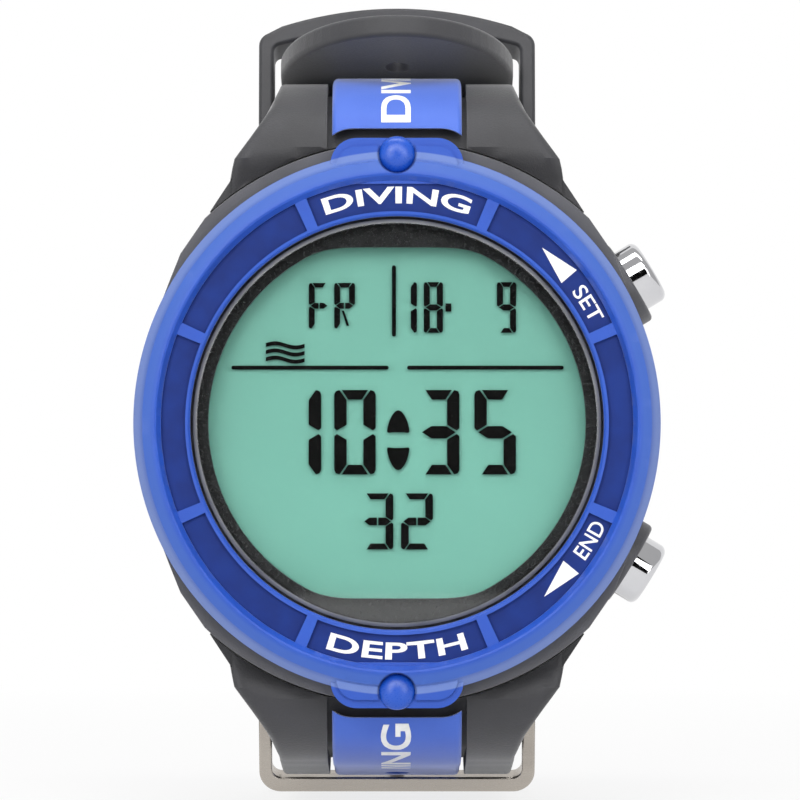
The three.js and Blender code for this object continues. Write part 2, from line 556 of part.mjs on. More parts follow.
function backParts() {
  const group = new THREE.Group();
  const sensorCan = ring(0, SENSOR.radius, SENSOR.frontY, SENSOR.backY, SMALL_SEGMENTS);
  const sensor = piece('pressure_sensor', sensorCan, COLOURS.steel, 0.3, 1);
  const sensorRing = sealRing(SENSOR.sealRadius, SENSOR.sealSection, SENSOR.sealY, SMALL_SEGMENTS);
  const sensorSeal = piece('sensor_o_ring', sensorRing, COLOURS.seal, 0.7);
  sensor.position.x = SENSOR.x;
  sensorSeal.position.x = SENSOR.x;
  const minus = NEGATIVE_CONTACT;
  const plus = POSITIVE_CONTACT;
  const negative = block(-minus.halfLength, minus.halfLength, BACK.cupFloorY + GASKET_SQUEEZE,
    CELL.frontY - GASKET_SQUEEZE, -minus.halfWidth, minus.halfWidth);
  const positive = block(-plus.halfWidth, plus.halfWidth, plus.frontY, plus.backY, plus.nearZ, plus.farZ);
  const hatchSealY = BACK.ledgeY - HATCH_SEAL.section;
  group.add(
    backCover(),
    piece('back_gasket', sealRing(BACK_SEAL.radius, BACK_SEAL.section, BACK_SEAL.y), COLOURS.seal, 0.7),
    ...BACK_SCREW.angles.map((degrees, i) => backScrew(i + 1, degrees)),
    batteryCover(),
    piece('battery_cover_o_ring', sealRing(HATCH_SEAL.radius, HATCH_SEAL.section, hatchSealY), COLOURS.seal, 0.7),
    piece('battery_cell', ring(0, CELL.radius, CELL.frontY, CELL.backY), COLOURS.steel, 0.25, 1),
    piece('battery_contact_negative', negative, COLOURS.brass, 0.3, 1),
    piece('battery_contact_positive', positive, COLOURS.brass, 0.3, 1),
    sensor,
    sensorSeal);
  return group;
}

// ---------------------------------------------------------------- buttons

/** Helix about the Y axis, for a coil spring. */
class Helix extends THREE.Curve {
  getPoint(share) {
    const s = RETURN_SPRING;
    const turn = share * s.turns * 2 * Math.PI;
    return new THREE.Vector3(s.coilRadius * Math.cos(turn), THREE.MathUtils.lerp(s.near, s.far, share),
      s.coilRadius * Math.sin(turn));
  }
}

function returnSpring() {
  const wire = new THREE.Shape();
  wire.absarc(0, 0, RETURN_SPRING.wireRadius, 0, 2 * Math.PI, false);
  return toSolid(new THREE.ExtrudeGeometry(wire,
    { steps: RETURN_SPRING.steps, extrudePath: new Helix(), curveSegments: 3, bevelEnabled: false }));
}

/** One push-button. In its group, +Y is outwards from the case's axis. */
function button(name, degrees) {
  const b = BUTTON;
  const g = GUARD;
  const cap = turned([[0, b.stemEnd], [b.stemRadius, b.stemEnd], [b.stemRadius, CLIP.near - 0.1],
    [CLIP.inner - 0.1, CLIP.near - 0.1], [CLIP.inner - 0.1, CLIP.far + 0.1], [b.stemRadius, CLIP.far + 0.1],
    [b.stemRadius, b.springPocket], [b.skirtInner, b.springPocket], [b.skirtInner, b.capFoot],
    [b.capRadius, b.capFoot], [b.capRadius, b.capFace - b.capEdge],
    [b.capRadius - b.capEdge * 0.3, b.capFace - b.capEdge * 0.3],
    [b.capRadius - b.capEdge, b.capFace], [0, b.capFace]], SMALL_SEGMENTS);
  const guard = turned([[g.bore, g.inner], [g.bodyRadius, g.inner], [g.bodyRadius, g.flangeFoot],
    [g.flangeRadius, g.flangeFoot], [g.flangeRadius, g.face - 0.3], [g.flangeRadius - 0.3, g.face],
    [g.cupRadius, g.face], [g.cupRadius, g.floor], [g.bore, g.floor], [g.bore, g.sealFar],
    [g.sealRadius, g.sealFar], [g.sealRadius, g.sealNear], [g.bore, g.sealNear]], SMALL_SEGMENTS);
  const seal = sealRing(STEM_SEAL.radius, STEM_SEAL.section, (g.sealNear + g.sealFar) / 2, SMALL_SEGMENTS);
  const clip = ring(CLIP.inner, CLIP.outer, CLIP.near, CLIP.far, SMALL_SEGMENTS);
  const group = new THREE.Group();
  group.add(
    piece(`button_${name}_cap`, cap, COLOURS.chrome, 0.08, 1),
    piece(`button_${name}_guard`, guard, COLOURS.blackCase, 0.5),
    piece(`button_${name}_spring`, returnSpring(), COLOURS.springSteel, 0.3, 1),
    piece(`button_${name}_o_ring`, seal, COLOURS.seal, 0.7),
    piece(`button_${name}_clip`, clip, COLOURS.springSteel, 0.3, 1));
  group.position.y = b.y;
  group.rotation.set(0, -degrees * DEGREE, -Math.PI / 2);
  return group;
}

/** Side-push switch on the board, in front of a button's stem. */
function sideSwitch(name, degrees) {
  const s = SWITCH;
  const body = block(s.near, s.far, BOARD.frontY - s.height, BOARD.frontY - 0.05, -s.halfWidth, s.halfWidth);
  const made = piece(`button_${name}_switch`, body, COLOURS.white, 0.5);
  made.rotation.y = -degrees * DEGREE;
  return made;
}

// ---------------------------------------------------------------- strap

/** Everything in front of a Y plane and outside the case, as wide as the strap's winged end. */
function wingRegion(side) {
  const half = [...WING, [STRAP.halfWidth, 36]];
  const points = [...half, ...[...half].reverse().map(([x, z]) => [-x, z])];
  const region = frontPrism(outline(points), -1, STRAP.wingReach);
  const near = region.subtract(ring(0, STRAP.caseGap, -2, STRAP.wingReach + 1));
  return side > 0 ? near : aroundFace(near, 180);
}

/** Space for the case's lug, its web and the pin inside a strap end. */
function lugSlot(side) {
  const z = side * STRAP_PIN.z;
  const slotRadius = LUG.radius + GAP;
  const halfWidth = LUG.halfWidth + GAP;
  const [low, high] = side > 0 ? [LUG.slotRootZ, z] : [z, -LUG.slotRootZ];
  const backY = LUG.slotBackY;
  return joined([
    crossPin(slotRadius, -halfWidth, halfWidth, STRAP_PIN.y, z),
    block(-halfWidth, halfWidth, STRAP_PIN.y - slotRadius, backY, low, high),
    block(-halfWidth, halfWidth, STRAP_PIN.y, backY, z - slotRadius, z + slotRadius),
    crossPin(STRAP_PIN.radius + 0.1, -STRAP_PIN.halfLength - GAP, STRAP_PIN.halfLength + GAP, STRAP_PIN.y, z)]);
}

/** Channel for the inlay in a strap half, up to a distance along it. */
function inlayChannel(line, to) {
  const floor = (distance) => line.halfThickness(distance) - INLAY.depth - INLAY.floorGap;
  return line.band(4, to, floor, () => 8, INLAY.halfWidth + INLAY.sideGap);
}

/** Raised inlay of a strap half, up to a distance along it. */
function inlayBand(line, to, side) {
  const inner = (distance) => line.halfThickness(distance) - INLAY.depth;
  const outer = (distance) => line.halfThickness(distance) + INLAY.proud;
  const nearCase = ring(0, INLAY.start, -6, STRAP.wingReach);
  const front = side > 0 ? block(-8, 8, -6, STRAP.wingReach, 0, 50) : block(-8, 8, -6, STRAP.wingReach, -50, 0);
  return line.band(4, to, inner, outer, INLAY.halfWidth).subtract(nearCase.intersect(front));
}

function strapUpper() {
  const line = shortLine;
  const thickness = (distance) => line.halfThickness(distance);
  const region = joined([wingRegion(1), block(-STRAP.halfWidth, STRAP.halfWidth, STRAP.wingReach - 0.1, 60, -45, 45)]);
  let body = line.band(0, line.length, (d) => -thickness(d), thickness, 20).intersect(region);
  body = body.add(crossPin(BUCKLE.tubeRadius, -STRAP.halfWidth, STRAP.halfWidth, BUCKLE.y, BUCKLE.z));
  body = body.subtract(inlayChannel(line, line.length - UPPER_INLAY_SHORT + INLAY.sideGap)).subtract(lugSlot(1));
  body = body.subtract(crossPin(BUCKLE.barRadius + 0.1, -20, 20, BUCKLE.y, BUCKLE.z));
  body = body.subtract(block(-PRONG.slotHalfWidth, PRONG.slotHalfWidth, BUCKLE.y - 3, BUCKLE.y + 3,
    BUCKLE.z - 3, BUCKLE.z + 2.6));
  return piece('strap_upper', body, COLOURS.blackRubber, 0.65);
}

/** Cutter that leaves a long rounded tip on the strap's free end. */
function tipCutter() {
  const shape = new THREE.Shape();
  shape.moveTo(-16, 0);
  shape.lineTo(-STRAP.halfWidth, 0);
  for (let i = 1; i < TIP.steps; i += 1) {
    const turn = Math.PI * (1 - i / TIP.steps);
    shape.lineTo(STRAP.halfWidth * Math.cos(turn), TIP.length * Math.sin(turn));
  }
  shape.lineTo(STRAP.halfWidth, 0);
  shape.lineTo(16, 0);
  shape.lineTo(16, TIP.length + 8);
  shape.lineTo(-16, TIP.length + 8);
  const geometry = new THREE.ExtrudeGeometry(shape, { depth: 12, bevelEnabled: false });
  geometry.translate(0, 0, -6);
  const from = longLine.at(longLine.length - TIP.length);
  geometry.rotateX(Math.atan2(LONG_LINE.at(-1)[1] - from[1], LONG_LINE.at(-1)[0] - from[0]));
  geometry.translate(0, from[0], from[1]);
  return toSolid(geometry);
}

function strapLower() {
  const line = longLine;
  const thickness = (distance) => line.halfThickness(distance);
  const region = joined([wingRegion(-1),
    block(-STRAP.halfWidth, STRAP.halfWidth, STRAP.wingReach - 0.1, 60, -45, 45),
    block(-STRAP.halfWidth, STRAP.halfWidth, 0, STRAP.wingReach, 33, 45)]);
  let body = line.band(0, line.length, (d) => -thickness(d), thickness, 20, 48).intersect(region);
  body = body.subtract(inlayChannel(line, line.length - TIP.inlayShort + INLAY.sideGap)).subtract(lugSlot(-1));
  body = body.subtract(tipCutter());
  holeDistances().forEach((distance) => { body = body.subtract(holeCutter(distance)); });
  return piece('strap_lower', body, COLOURS.blackRubber, 0.65);
}

function strapParts() {
  const group = new THREE.Group();
  let lowerInlay = inlayBand(longLine, longLine.length - TIP.inlayShort, -1);
  holeDistances().forEach((distance) => { lowerInlay = lowerInlay.subtract(holeCutter(distance)); });
  const pin = () => crossPin(STRAP_PIN.radius, -STRAP_PIN.halfLength, STRAP_PIN.halfLength, 0, 0);
  const upperPin = piece('strap_pin_upper', pin(), COLOURS.steel, 0.3, 1);
  const lowerPin = piece('strap_pin_lower', pin(), COLOURS.steel, 0.3, 1);
  upperPin.position.set(0, STRAP_PIN.y, STRAP_PIN.z);
  lowerPin.position.set(0, STRAP_PIN.y, -STRAP_PIN.z);
  group.add(
    strapUpper(),
    piece('strap_upper_inlay', inlayBand(shortLine, shortLine.length - UPPER_INLAY_SHORT, 1), COLOURS.blueRubber, 0.55),
    strapLower(),
    piece('strap_lower_inlay', lowerInlay, COLOURS.blueRubber, 0.55),
    upperPin,
    lowerPin);
  return group;
}

// ---------------------------------------------------------------- buckle and keeper

/** U-shaped buckle frame. In the buckle's group the spring bar is the X axis and -Z points to the closed bar. */
function buckleFrame() {
  const b = BUCKLE;
  const shape = new THREE.Shape();
  shape.moveTo(b.halfWidth, b.earTop);
  shape.lineTo(b.innerHalfWidth, b.earTop);
  shape.lineTo(b.innerHalfWidth, b.barNear + 1);
  shape.absarc(b.innerHalfWidth - 1, b.barNear + 1, 1, 0, -Math.PI / 2, true);
  shape.absarc(-b.innerHalfWidth + 1, b.barNear + 1, 1, -Math.PI / 2, -Math.PI, true);
  shape.lineTo(-b.innerHalfWidth, b.earTop);
  shape.lineTo(-b.halfWidth, b.earTop);
  shape.absarc(-b.halfWidth + b.corner, b.barFar + b.corner, b.corner, Math.PI, Math.PI * 1.5, false);
  shape.absarc(b.halfWidth - b.corner, b.barFar + b.corner, b.corner, -Math.PI / 2, 0, false);
  let body = frontPrism(shape, -b.thickness / 2, b.thickness / 2);
  body = body.subtract(crossPin(b.boreRadius, -20, 20, 0, 0));
  return piece('buckle_frame', body, COLOURS.steel, 0.35, 1);
}

function buckleProng() {
  const p = PRONG;
  const eye = crossPin(p.eyeOuter, -p.halfWidth, p.halfWidth, 0, 0);
  const arm = sidePrism(outline([[p.rise, 0], [p.rise + p.thickness, 0], [p.rise + p.thickness + p.lean, p.tip],
    [p.rise + p.lean, p.tip]]), -p.halfWidth, p.halfWidth);
  const body = eye.add(arm).subtract(crossPin(p.eyeInner, -5, 5, 0, 0));
  return piece('buckle_prong', body, COLOURS.steel, 0.35, 1);
}

function buckle() {
  const group = new THREE.Group();
  const bar = crossPin(BUCKLE.barRadius, -BUCKLE.barHalfLength, BUCKLE.barHalfLength, 0, 0);
  group.add(buckleFrame(), buckleProng(), piece('buckle_spring_bar', bar, COLOURS.steel, 0.3, 1));
  group.position.set(0, BUCKLE.y, BUCKLE.z);
  group.rotation.x = BUCKLE.tilt * DEGREE;
  return group;
}

/** Arched loop outline: straight sides and bottom, and a top that rises to its middle. */
function archOutline(halfWidth, bottom, shoulder, crown) {
  const shape = new THREE.Shape();
  shape.moveTo(-halfWidth, bottom);
  shape.lineTo(halfWidth, bottom);
  shape.lineTo(halfWidth, shoulder);
  shape.quadraticCurveTo(0, 2 * crown - shoulder, -halfWidth, shoulder);
  return shape;
}

function keeper() {
  const k = KEEPER;
  const outer = frontPrism(archOutline(k.outerHalfWidth, k.bottom, k.shoulder, k.crown), -k.halfLength, k.halfLength);
  const hole = archOutline(k.innerHalfWidth, k.floor, k.ceiling, k.ceilingCrown);
  const body = outer.subtract(frontPrism(hole, -k.halfLength - 1, k.halfLength + 1));
  const made = piece('strap_keeper', body, COLOURS.blackRubber, 0.65);
  made.position.set(0, k.y, k.z);
  made.rotation.x = k.tilt * DEGREE;
  return made;
}

// ---------------------------------------------------------------- whole object

const diveComputer = new THREE.Group();
diveComputer.add(
  caseBody(),
  bezelRing(),
  bezelRivet('bezel_rivet_top', 1),
  bezelRivet('bezel_rivet_bottom', -1),
  displayModule(),
  backParts(),
  ...Object.entries(BUTTON.angles).map(([name, degrees]) => button(name, degrees)),
  ...Object.entries(BUTTON.angles).map(([name, degrees]) => sideSwitch(name, degrees)),
  strapParts(),
  buckle(),
  keeper());

export default diveComputer;
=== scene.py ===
"""Looks of a wrist dive computer: case, blue bezel, segment display, push-buttons and buckled strap.

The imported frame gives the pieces' places. Every piece is modelled on the bench in millimetres, in the
frame's own axes: the face looks along -Y, 12 o'clock is +Z and the push-buttons are on +X.
"""

import logging
import math
from dataclasses import dataclass
from enum import Enum
from typing import Any, Callable, Iterable, Optional, Sequence

import bmesh
import bpy
from mathutils import Matrix, Vector


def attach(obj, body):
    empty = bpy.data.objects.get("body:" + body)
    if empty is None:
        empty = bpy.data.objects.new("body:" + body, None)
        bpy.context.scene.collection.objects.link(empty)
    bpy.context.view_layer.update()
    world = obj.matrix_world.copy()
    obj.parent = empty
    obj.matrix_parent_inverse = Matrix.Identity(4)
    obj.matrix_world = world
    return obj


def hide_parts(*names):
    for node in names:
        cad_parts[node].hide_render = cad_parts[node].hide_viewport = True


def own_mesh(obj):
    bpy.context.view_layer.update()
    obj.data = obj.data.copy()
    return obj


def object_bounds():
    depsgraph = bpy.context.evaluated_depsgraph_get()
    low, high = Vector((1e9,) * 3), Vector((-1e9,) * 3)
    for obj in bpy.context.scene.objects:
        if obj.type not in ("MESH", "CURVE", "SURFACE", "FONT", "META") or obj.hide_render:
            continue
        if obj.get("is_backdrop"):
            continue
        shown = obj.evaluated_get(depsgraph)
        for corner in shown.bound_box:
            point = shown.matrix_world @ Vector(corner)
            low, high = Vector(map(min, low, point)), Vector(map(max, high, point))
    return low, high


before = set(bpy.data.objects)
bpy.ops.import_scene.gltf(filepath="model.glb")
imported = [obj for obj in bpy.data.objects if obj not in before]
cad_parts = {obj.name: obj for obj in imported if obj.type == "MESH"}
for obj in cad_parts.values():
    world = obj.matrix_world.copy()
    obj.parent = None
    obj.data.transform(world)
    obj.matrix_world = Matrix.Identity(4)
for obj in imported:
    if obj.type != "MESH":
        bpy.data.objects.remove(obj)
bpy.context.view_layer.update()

log = logging.getLogger("dive_computer")

Point2 = tuple[float, float]
Piece = bpy.types.Object
MM = 0.001
DEGREE = math.pi / 180


# ---------------------------------------------------------------------------------------- colour and nodes

def linear(hex_colour: str) -> tuple[float, float, float, float]:
    """Turns an sRGB hex colour into linear RGBA.

    Args:
        hex_colour: six hex digits.

    Returns:
        Linear red, green, blue and an alpha of 1.
    """
    parts = [int(hex_colour[i:i + 2], 16) / 255 for i in (0, 2, 4)]
    return (*(c / 12.92 if c <= 0.04045 else ((c + 0.055) / 1.055) ** 2.4 for c in parts), 1.0)


def add_node(tree: bpy.types.NodeTree, kind: str, values: Optional[dict] = None, links: Optional[dict] = None,
             **settings: Any) -> bpy.types.Node:
    """Adds a node with its settings, socket values and links.

    Args:
        tree: the node tree.
        kind: the node's Blender type name.
        values: socket name or index to its value.
        links: socket name or index to the output that feeds it.
        settings: the node's own properties.

    Returns:
        The new node.
    """
    node = tree.nodes.new(kind)
    for name, value in settings.items():
        setattr(node, name, value)
    for socket, value in (values or {}).items():
        node.inputs[socket].default_value = value
    for socket, source in (links or {}).items():
        tree.links.new(source, node.inputs[socket])
    return node


MIX_COLOUR_A, MIX_COLOUR_B, MIX_COLOUR_OUT = 6, 7, 2


@dataclass(frozen=True)
class Finish:
    """A real surface: its colour, how much it varies, its grain in millimetres and how it takes the light."""

    name: str
    colour: str
    tone: str
    roughness: float
    roughness_spread: float = 0.06
    grain_mm: float = 0.3
    grain_depth_mm: float = 0.01
    tone_mm: float = 6.0
    stretch: tuple[float, float, float] = (1.0, 1.0, 1.0)
    metallic: float = 0.0
    ior: float = 1.5
    sheen: float = 0.0
    sheen_colour: str = "ffffff"
    coat: float = 0.0

    def material(self) -> bpy.types.Material:
        """Returns this finish as a material, made once.

        Returns:
            The material.
        """
        made = bpy.data.materials.get(self.name)
        if made is None:
            made = bpy.data.materials.new(self.name)
            made.use_nodes = True
            made.node_tree.nodes.clear()
            self.surface(made.node_tree)
        return made

    def grain(self, tree: bpy.types.NodeTree, size_mm: float, detail: float = 3.0) -> bpy.types.NodeSocket:
        """Noise of one size over the piece.

        Args:
            tree: the material's tree.
            size_mm: size of the noise's features.
            detail: how many finer layers it has.

        Returns:
            The noise's value.
        """
        place = add_node(tree, "ShaderNodeTexCoord")
        turn = add_node(tree, "ShaderNodeMapping", {"Scale": self.stretch},
                        {"Vector": place.outputs["Object"]})
        noise = add_node(tree, "ShaderNodeTexNoise", {"Scale": 1 / (size_mm * MM), "Detail": detail},
                         {"Vector": turn.outputs[0]})
        return noise.outputs["Fac"]

    def shader(self, tree: bpy.types.NodeTree, colour: bpy.types.NodeSocket) -> bpy.types.Node:
        """The surface's shader, with its grain in the bump and the roughness.

        Args:
            tree: the material's tree.
            colour: the colour over the surface.

        Returns:
            The Principled node.
        """
        fine = self.grain(tree, self.grain_mm)
        rough = add_node(tree, "ShaderNodeMapRange",
                         {"From Min": 0.3, "From Max": 0.7,
                          "To Min": max(0.01, self.roughness - self.roughness_spread),
                          "To Max": min(1.0, self.roughness + self.roughness_spread)}, {"Value": fine})
        bump = add_node(tree, "ShaderNodeBump", {"Strength": 1.0, "Distance": self.grain_depth_mm * MM},
                        {"Height": fine})
        return add_node(tree, "ShaderNodeBsdfPrincipled",
                        {"Metallic": self.metallic, "IOR": self.ior, "Sheen Weight": self.sheen,
                         "Sheen Roughness": 0.5, "Sheen Tint": linear(self.sheen_colour),
                         "Coat Weight": self.coat},
                        {"Base Color": colour, "Roughness": rough.outputs[0], "Normal": bump.outputs[0]})

    def colours(self, tree: bpy.types.NodeTree) -> bpy.types.NodeSocket:
        """Colour that drifts from the main one to its tone over a few millimetres.

        Args:
            tree: the material's nodes.

        Returns:
            The colour's socket.
        """
        broad = self.grain(tree, self.tone_mm, 4.0)
        share = add_node(tree, "ShaderNodeMapRange", {"From Min": 0.35, "From Max": 0.65}, {"Value": broad})
        mix = add_node(tree, "ShaderNodeMix", {MIX_COLOUR_A: linear(self.colour),
                                               MIX_COLOUR_B: linear(self.tone)},
                       {0: share.outputs[0]}, data_type="RGBA")
        return mix.outputs[MIX_COLOUR_OUT]

    def surface(self, tree: bpy.types.NodeTree) -> None:
        """Fills the material's tree."""
        shader = self.shader(tree, self.colours(tree))
        add_node(tree, "ShaderNodeOutputMaterial", links={"Surface": shader.outputs[0]})


@dataclass(frozen=True)
class ClearGlass(Finish):
    """Clear glass that lets the lamps' light through to what lies behind it."""

    def surface(self, tree: bpy.types.NodeTree) -> None:
        """Fills the material's tree.

        Args:
            tree: the material's nodes.
        """
        shader = self.shader(tree, self.colours(tree))
        shader.inputs["Transmission Weight"].default_value = 1.0
        clear = add_node(tree, "ShaderNodeBsdfTransparent")
        rays = add_node(tree, "ShaderNodeLightPath")
        mix = add_node(tree, "ShaderNodeMixShader",
                       links={0: rays.outputs["Is Shadow Ray"], 1: shader.outputs[0], 2: clear.outputs[0]})
        add_node(tree, "ShaderNodeOutputMaterial", links={"Surface": mix.outputs[0]})


@dataclass(frozen=True)
class CircuitBoard(Finish):
    """Solder mask over copper tracks."""

    track_colour: str = "2f8a58"
    track_mm: float = 1.6

    def colours(self, tree: bpy.types.NodeTree) -> bpy.types.NodeSocket:
        """Solder mask, lighter where it covers a track.

        Args:
            tree: the material's nodes.

        Returns:
            The colour's socket.
        """
        place = add_node(tree, "ShaderNodeTexCoord")
        turn = add_node(tree, "ShaderNodeMapping", {"Rotation": (math.pi / 2, 0, 0)},
                        {"Vector": place.outputs["Object"]})
        tracks = add_node(tree, "ShaderNodeTexBrick",
                          {"Color1": linear(self.colour), "Color2": linear(self.tone),
                           "Mortar": linear(self.track_colour), "Scale": 1 / (self.track_mm * MM),
                           "Mortar Size": 0.08},
                          {"Vector": turn.outputs[0]})
        return tracks.outputs["Color"]


@dataclass(frozen=True)
class PaintedReflectionRing(Finish):
    """Plastic ring, deep blue at its inner edge and painted paler towards its outer one: a painted reflection
    of the white surroundings on its outward slopes.
    """

    # The middle blue and the palest blue after it are a painted reflection of the white surroundings on the
    # outer slopes; the tab blue is the tabs' own colour.
    middle: str = "2c54a8"
    painted_reflection: str = "5a73b2"
    tab: str = "0644a8"
    stops_mm: tuple[float, ...] = (22.9, 23.5, 24.0, 24.6, 24.95, 25.1)

    def colours(self, tree: bpy.types.NodeTree) -> bpy.types.NodeSocket:
        """The plain colours, painted paler in two steps with the distance from the ring's axis: a painted
        reflection of the white surroundings on the outer slopes.

        The tabs stay plain.

        Args:
            tree: the material's nodes.

        Returns:
            The colour's socket.
        """
        mixed = super().colours(tree)
        place = add_node(tree, "ShaderNodeTexCoord")
        flat = add_node(tree, "ShaderNodeVectorMath", {1: (1.0, 0.0, 0.973)}, {0: place.outputs["Object"]},
                        operation="MULTIPLY")
        radius = add_node(tree, "ShaderNodeVectorMath", links={0: flat.outputs["Vector"]}, operation="LENGTH")
        a, b, c, d, e, f = (stop * MM for stop in self.stops_mm)
        for start, end, paler in ((a, b, self.middle), (c, d, self.painted_reflection), (e, f, self.tab)):
            share = add_node(tree, "ShaderNodeMapRange", {"From Min": start, "From Max": end},
                             {"Value": radius.outputs["Value"]}, interpolation_type="SMOOTHSTEP")
            mix = add_node(tree, "ShaderNodeMix", {MIX_COLOUR_B: linear(paler)},
                           {0: share.outputs[0], MIX_COLOUR_A: mixed}, data_type="RGBA")
            mixed = mix.outputs[MIX_COLOUR_OUT]
        return mixed


# Glass-filled ABS bezel, spark-eroded mould: a satin blue that whitens a little at a glancing angle, painted
# paler towards its outer edge as a painted reflection of the white surroundings.
BEZEL_BLUE = PaintedReflectionRing("bezel_satin_abs", "0240a4", "0546ac", 0.45, grain_mm=0.12, grain_depth_mm=0.014,
                         sheen=0.15, sheen_colour="dfe6ff")
# The pockets' floors: a finer grain, and a darker, deeper blue that is painted shade and painted dark
# reflection in the sunken floors.
POCKET_SHADED_BLUE = Finish("bezel_pocket_abs", "06246a", "092b76", 0.5, ior=1.3, grain_mm=0.12,
                     grain_depth_mm=0.006,
                     tone_mm=2.5)
# Press-fit studs of the same plastic, polished by their punch.
STUD_BLUE = Finish("stud_polished_abs", "1246a8", "164bb0", 0.3, grain_mm=0.2, grain_depth_mm=0.004)
# Silicone inlay: soft, matte and slightly milky at its edges.
INLAY_BLUE = Finish("inlay_silicone", "345bbc", "3b62c3", 0.55, grain_mm=0.12, grain_depth_mm=0.008,
                    sheen=0.4,
                    sheen_colour="e8edff")
# Polyurethane strap: dark grey, dull, with a fine skin from the mould.
STRAP_RUBBER = Finish("strap_polyurethane", "29292c", "313135", 0.56, grain_mm=0.17, grain_depth_mm=0.03,
                      sheen=0.25)
# The keeper is moulded from the same rubber in a smoother tool.
KEEPER_RUBBER = Finish("keeper_polyurethane", "2c2c2f", "323236", 0.5, grain_mm=0.2, grain_depth_mm=0.008,
                       sheen=0.2)
# Glass-filled nylon case: grey-black, with the frost of a sand-blasted mould.
CASE_NYLON = Finish("case_glass_filled_nylon", "414145", "4c4c51", 0.5, grain_mm=0.15, grain_depth_mm=0.022,
                    sheen=0.2)
# Back cover and hatch: the same nylon, rubbed a little smoother by the wrist.
BACK_NYLON = Finish("back_cover_nylon", "303134", "393a3d", 0.42, grain_mm=0.18, grain_depth_mm=0.01,
                    tone_mm=4.0)
# Mineral glass, almost colourless.
LENS_GLASS = ClearGlass("mineral_glass", "fbfffe", "fbfffe", 0.02, 0.005, grain_mm=5, grain_depth_mm=0.0)
# The lens's chamfered edge in a frosted pale grey: a painted highlight standing for the pale line of light
# that the chamfer reflects all round.
EDGE_PAINTED_HIGHLIGHT = Finish("glass_edge_painted_highlight", "7b7b79", "92928f", 0.45, grain_mm=0.1, grain_depth_mm=0.01)
# Enamel screen-printed behind the lens.
BORDER_ENAMEL = Finish("black_border_enamel", "0f0e10", "141315", 0.25, grain_mm=0.3, grain_depth_mm=0.002)
# Moulded display surround, satin black.
MASK_BLACK = Finish("display_surround_abs", "1c1b1d", "222123", 0.4, grain_mm=0.2, grain_depth_mm=0.006)
# Reflector film of the liquid crystal display: a flat grey-green with a very fine grain.
LCD_GREEN = Finish("display_reflector_film", "66a091", "649e8f", 0.6, grain_mm=0.14, grain_depth_mm=0.003,
                   tone_mm=9.0)
# Switched-on crystal segments, near black.
CRYSTAL_BLACK = Finish("display_segment_crystal", "080707", "0b0a0a", 0.6, ior=1.12, grain_mm=0.2,
                       grain_depth_mm=0.001)
# Pad-printed ink, white and a little uneven.
WHITE_INK = Finish("white_pad_print_ink", "f2f2ee", "e9e9e4", 0.5, grain_mm=0.1, grain_depth_mm=0.003,
                   tone_mm=0.6)
# Polished chrome plate on the buttons, nearly a mirror.
BUTTON_CHROME = Finish("polished_chrome", "d6d6d8", "cfcfd2", 0.06, 0.03, grain_mm=0.5, grain_depth_mm=0.0005,
                       metallic=1.0)
# Drawn stainless buckle, brushed along its width.
BUCKLE_STEEL = Finish("brushed_stainless", "c2bbb2", "aea79f", 0.28, 0.1, grain_mm=0.12, grain_depth_mm=0.004,
                      stretch=(0.06, 1.0, 1.0), metallic=1.0)
# Turned stainless pins and screws.
PIN_STEEL = Finish("turned_stainless", "b9b6b1", "a5a29d", 0.25, 0.08, grain_mm=0.1, grain_depth_mm=0.003,
                   metallic=1.0)
# Spring wire, bright drawn.
SPRING_STEEL = Finish("drawn_spring_wire", "a7a8aa", "8f9092", 0.3, 0.1, grain_mm=0.08, grain_depth_mm=0.003,
                      metallic=1.0)
# Rolled brass contacts and sounder.
SHEET_BRASS = Finish("rolled_brass", "c2a25e", "ad8d4c", 0.3, 0.1, grain_mm=0.1, grain_depth_mm=0.003,
                     stretch=(1.0, 1.0, 0.1), metallic=1.0)
# Nickel-plated can of the coin cell.
CELL_NICKEL = Finish("coin_cell_nickel", "c4c3bf", "b3b2ae", 0.22, 0.08, grain_mm=0.25, grain_depth_mm=0.002,
                     metallic=1.0)
# Nitrile seals, smooth and black with a faint bloom.
SEAL_NITRILE = Finish("seal_nitrile", "1f1f21", "29292b", 0.55, grain_mm=0.3, grain_depth_mm=0.006,
                      sheen=0.15)
# White ABS inside the case.
INNER_ABS = Finish("inner_white_abs", "dfe1dd", "d5d7d3", 0.5, grain_mm=0.3, grain_depth_mm=0.006)
# Epoxy package of the processor.
CHIP_EPOXY = Finish("chip_epoxy", "1d1d1f", "27272a", 0.6, grain_mm=0.08, grain_depth_mm=0.006)
# Green solder mask.
SOLDER_MASK = CircuitBoard("solder_mask_board", "1b6a40", "206f45", 0.35, grain_mm=0.3, grain_depth_mm=0.004)


# ----------------------------------------------------------------------------------------------- the bench

class Part(Enum):
    """What an edit picks."""

    FACES = "faces"
    EDGES = "edges"
    VERTICES = "verts"


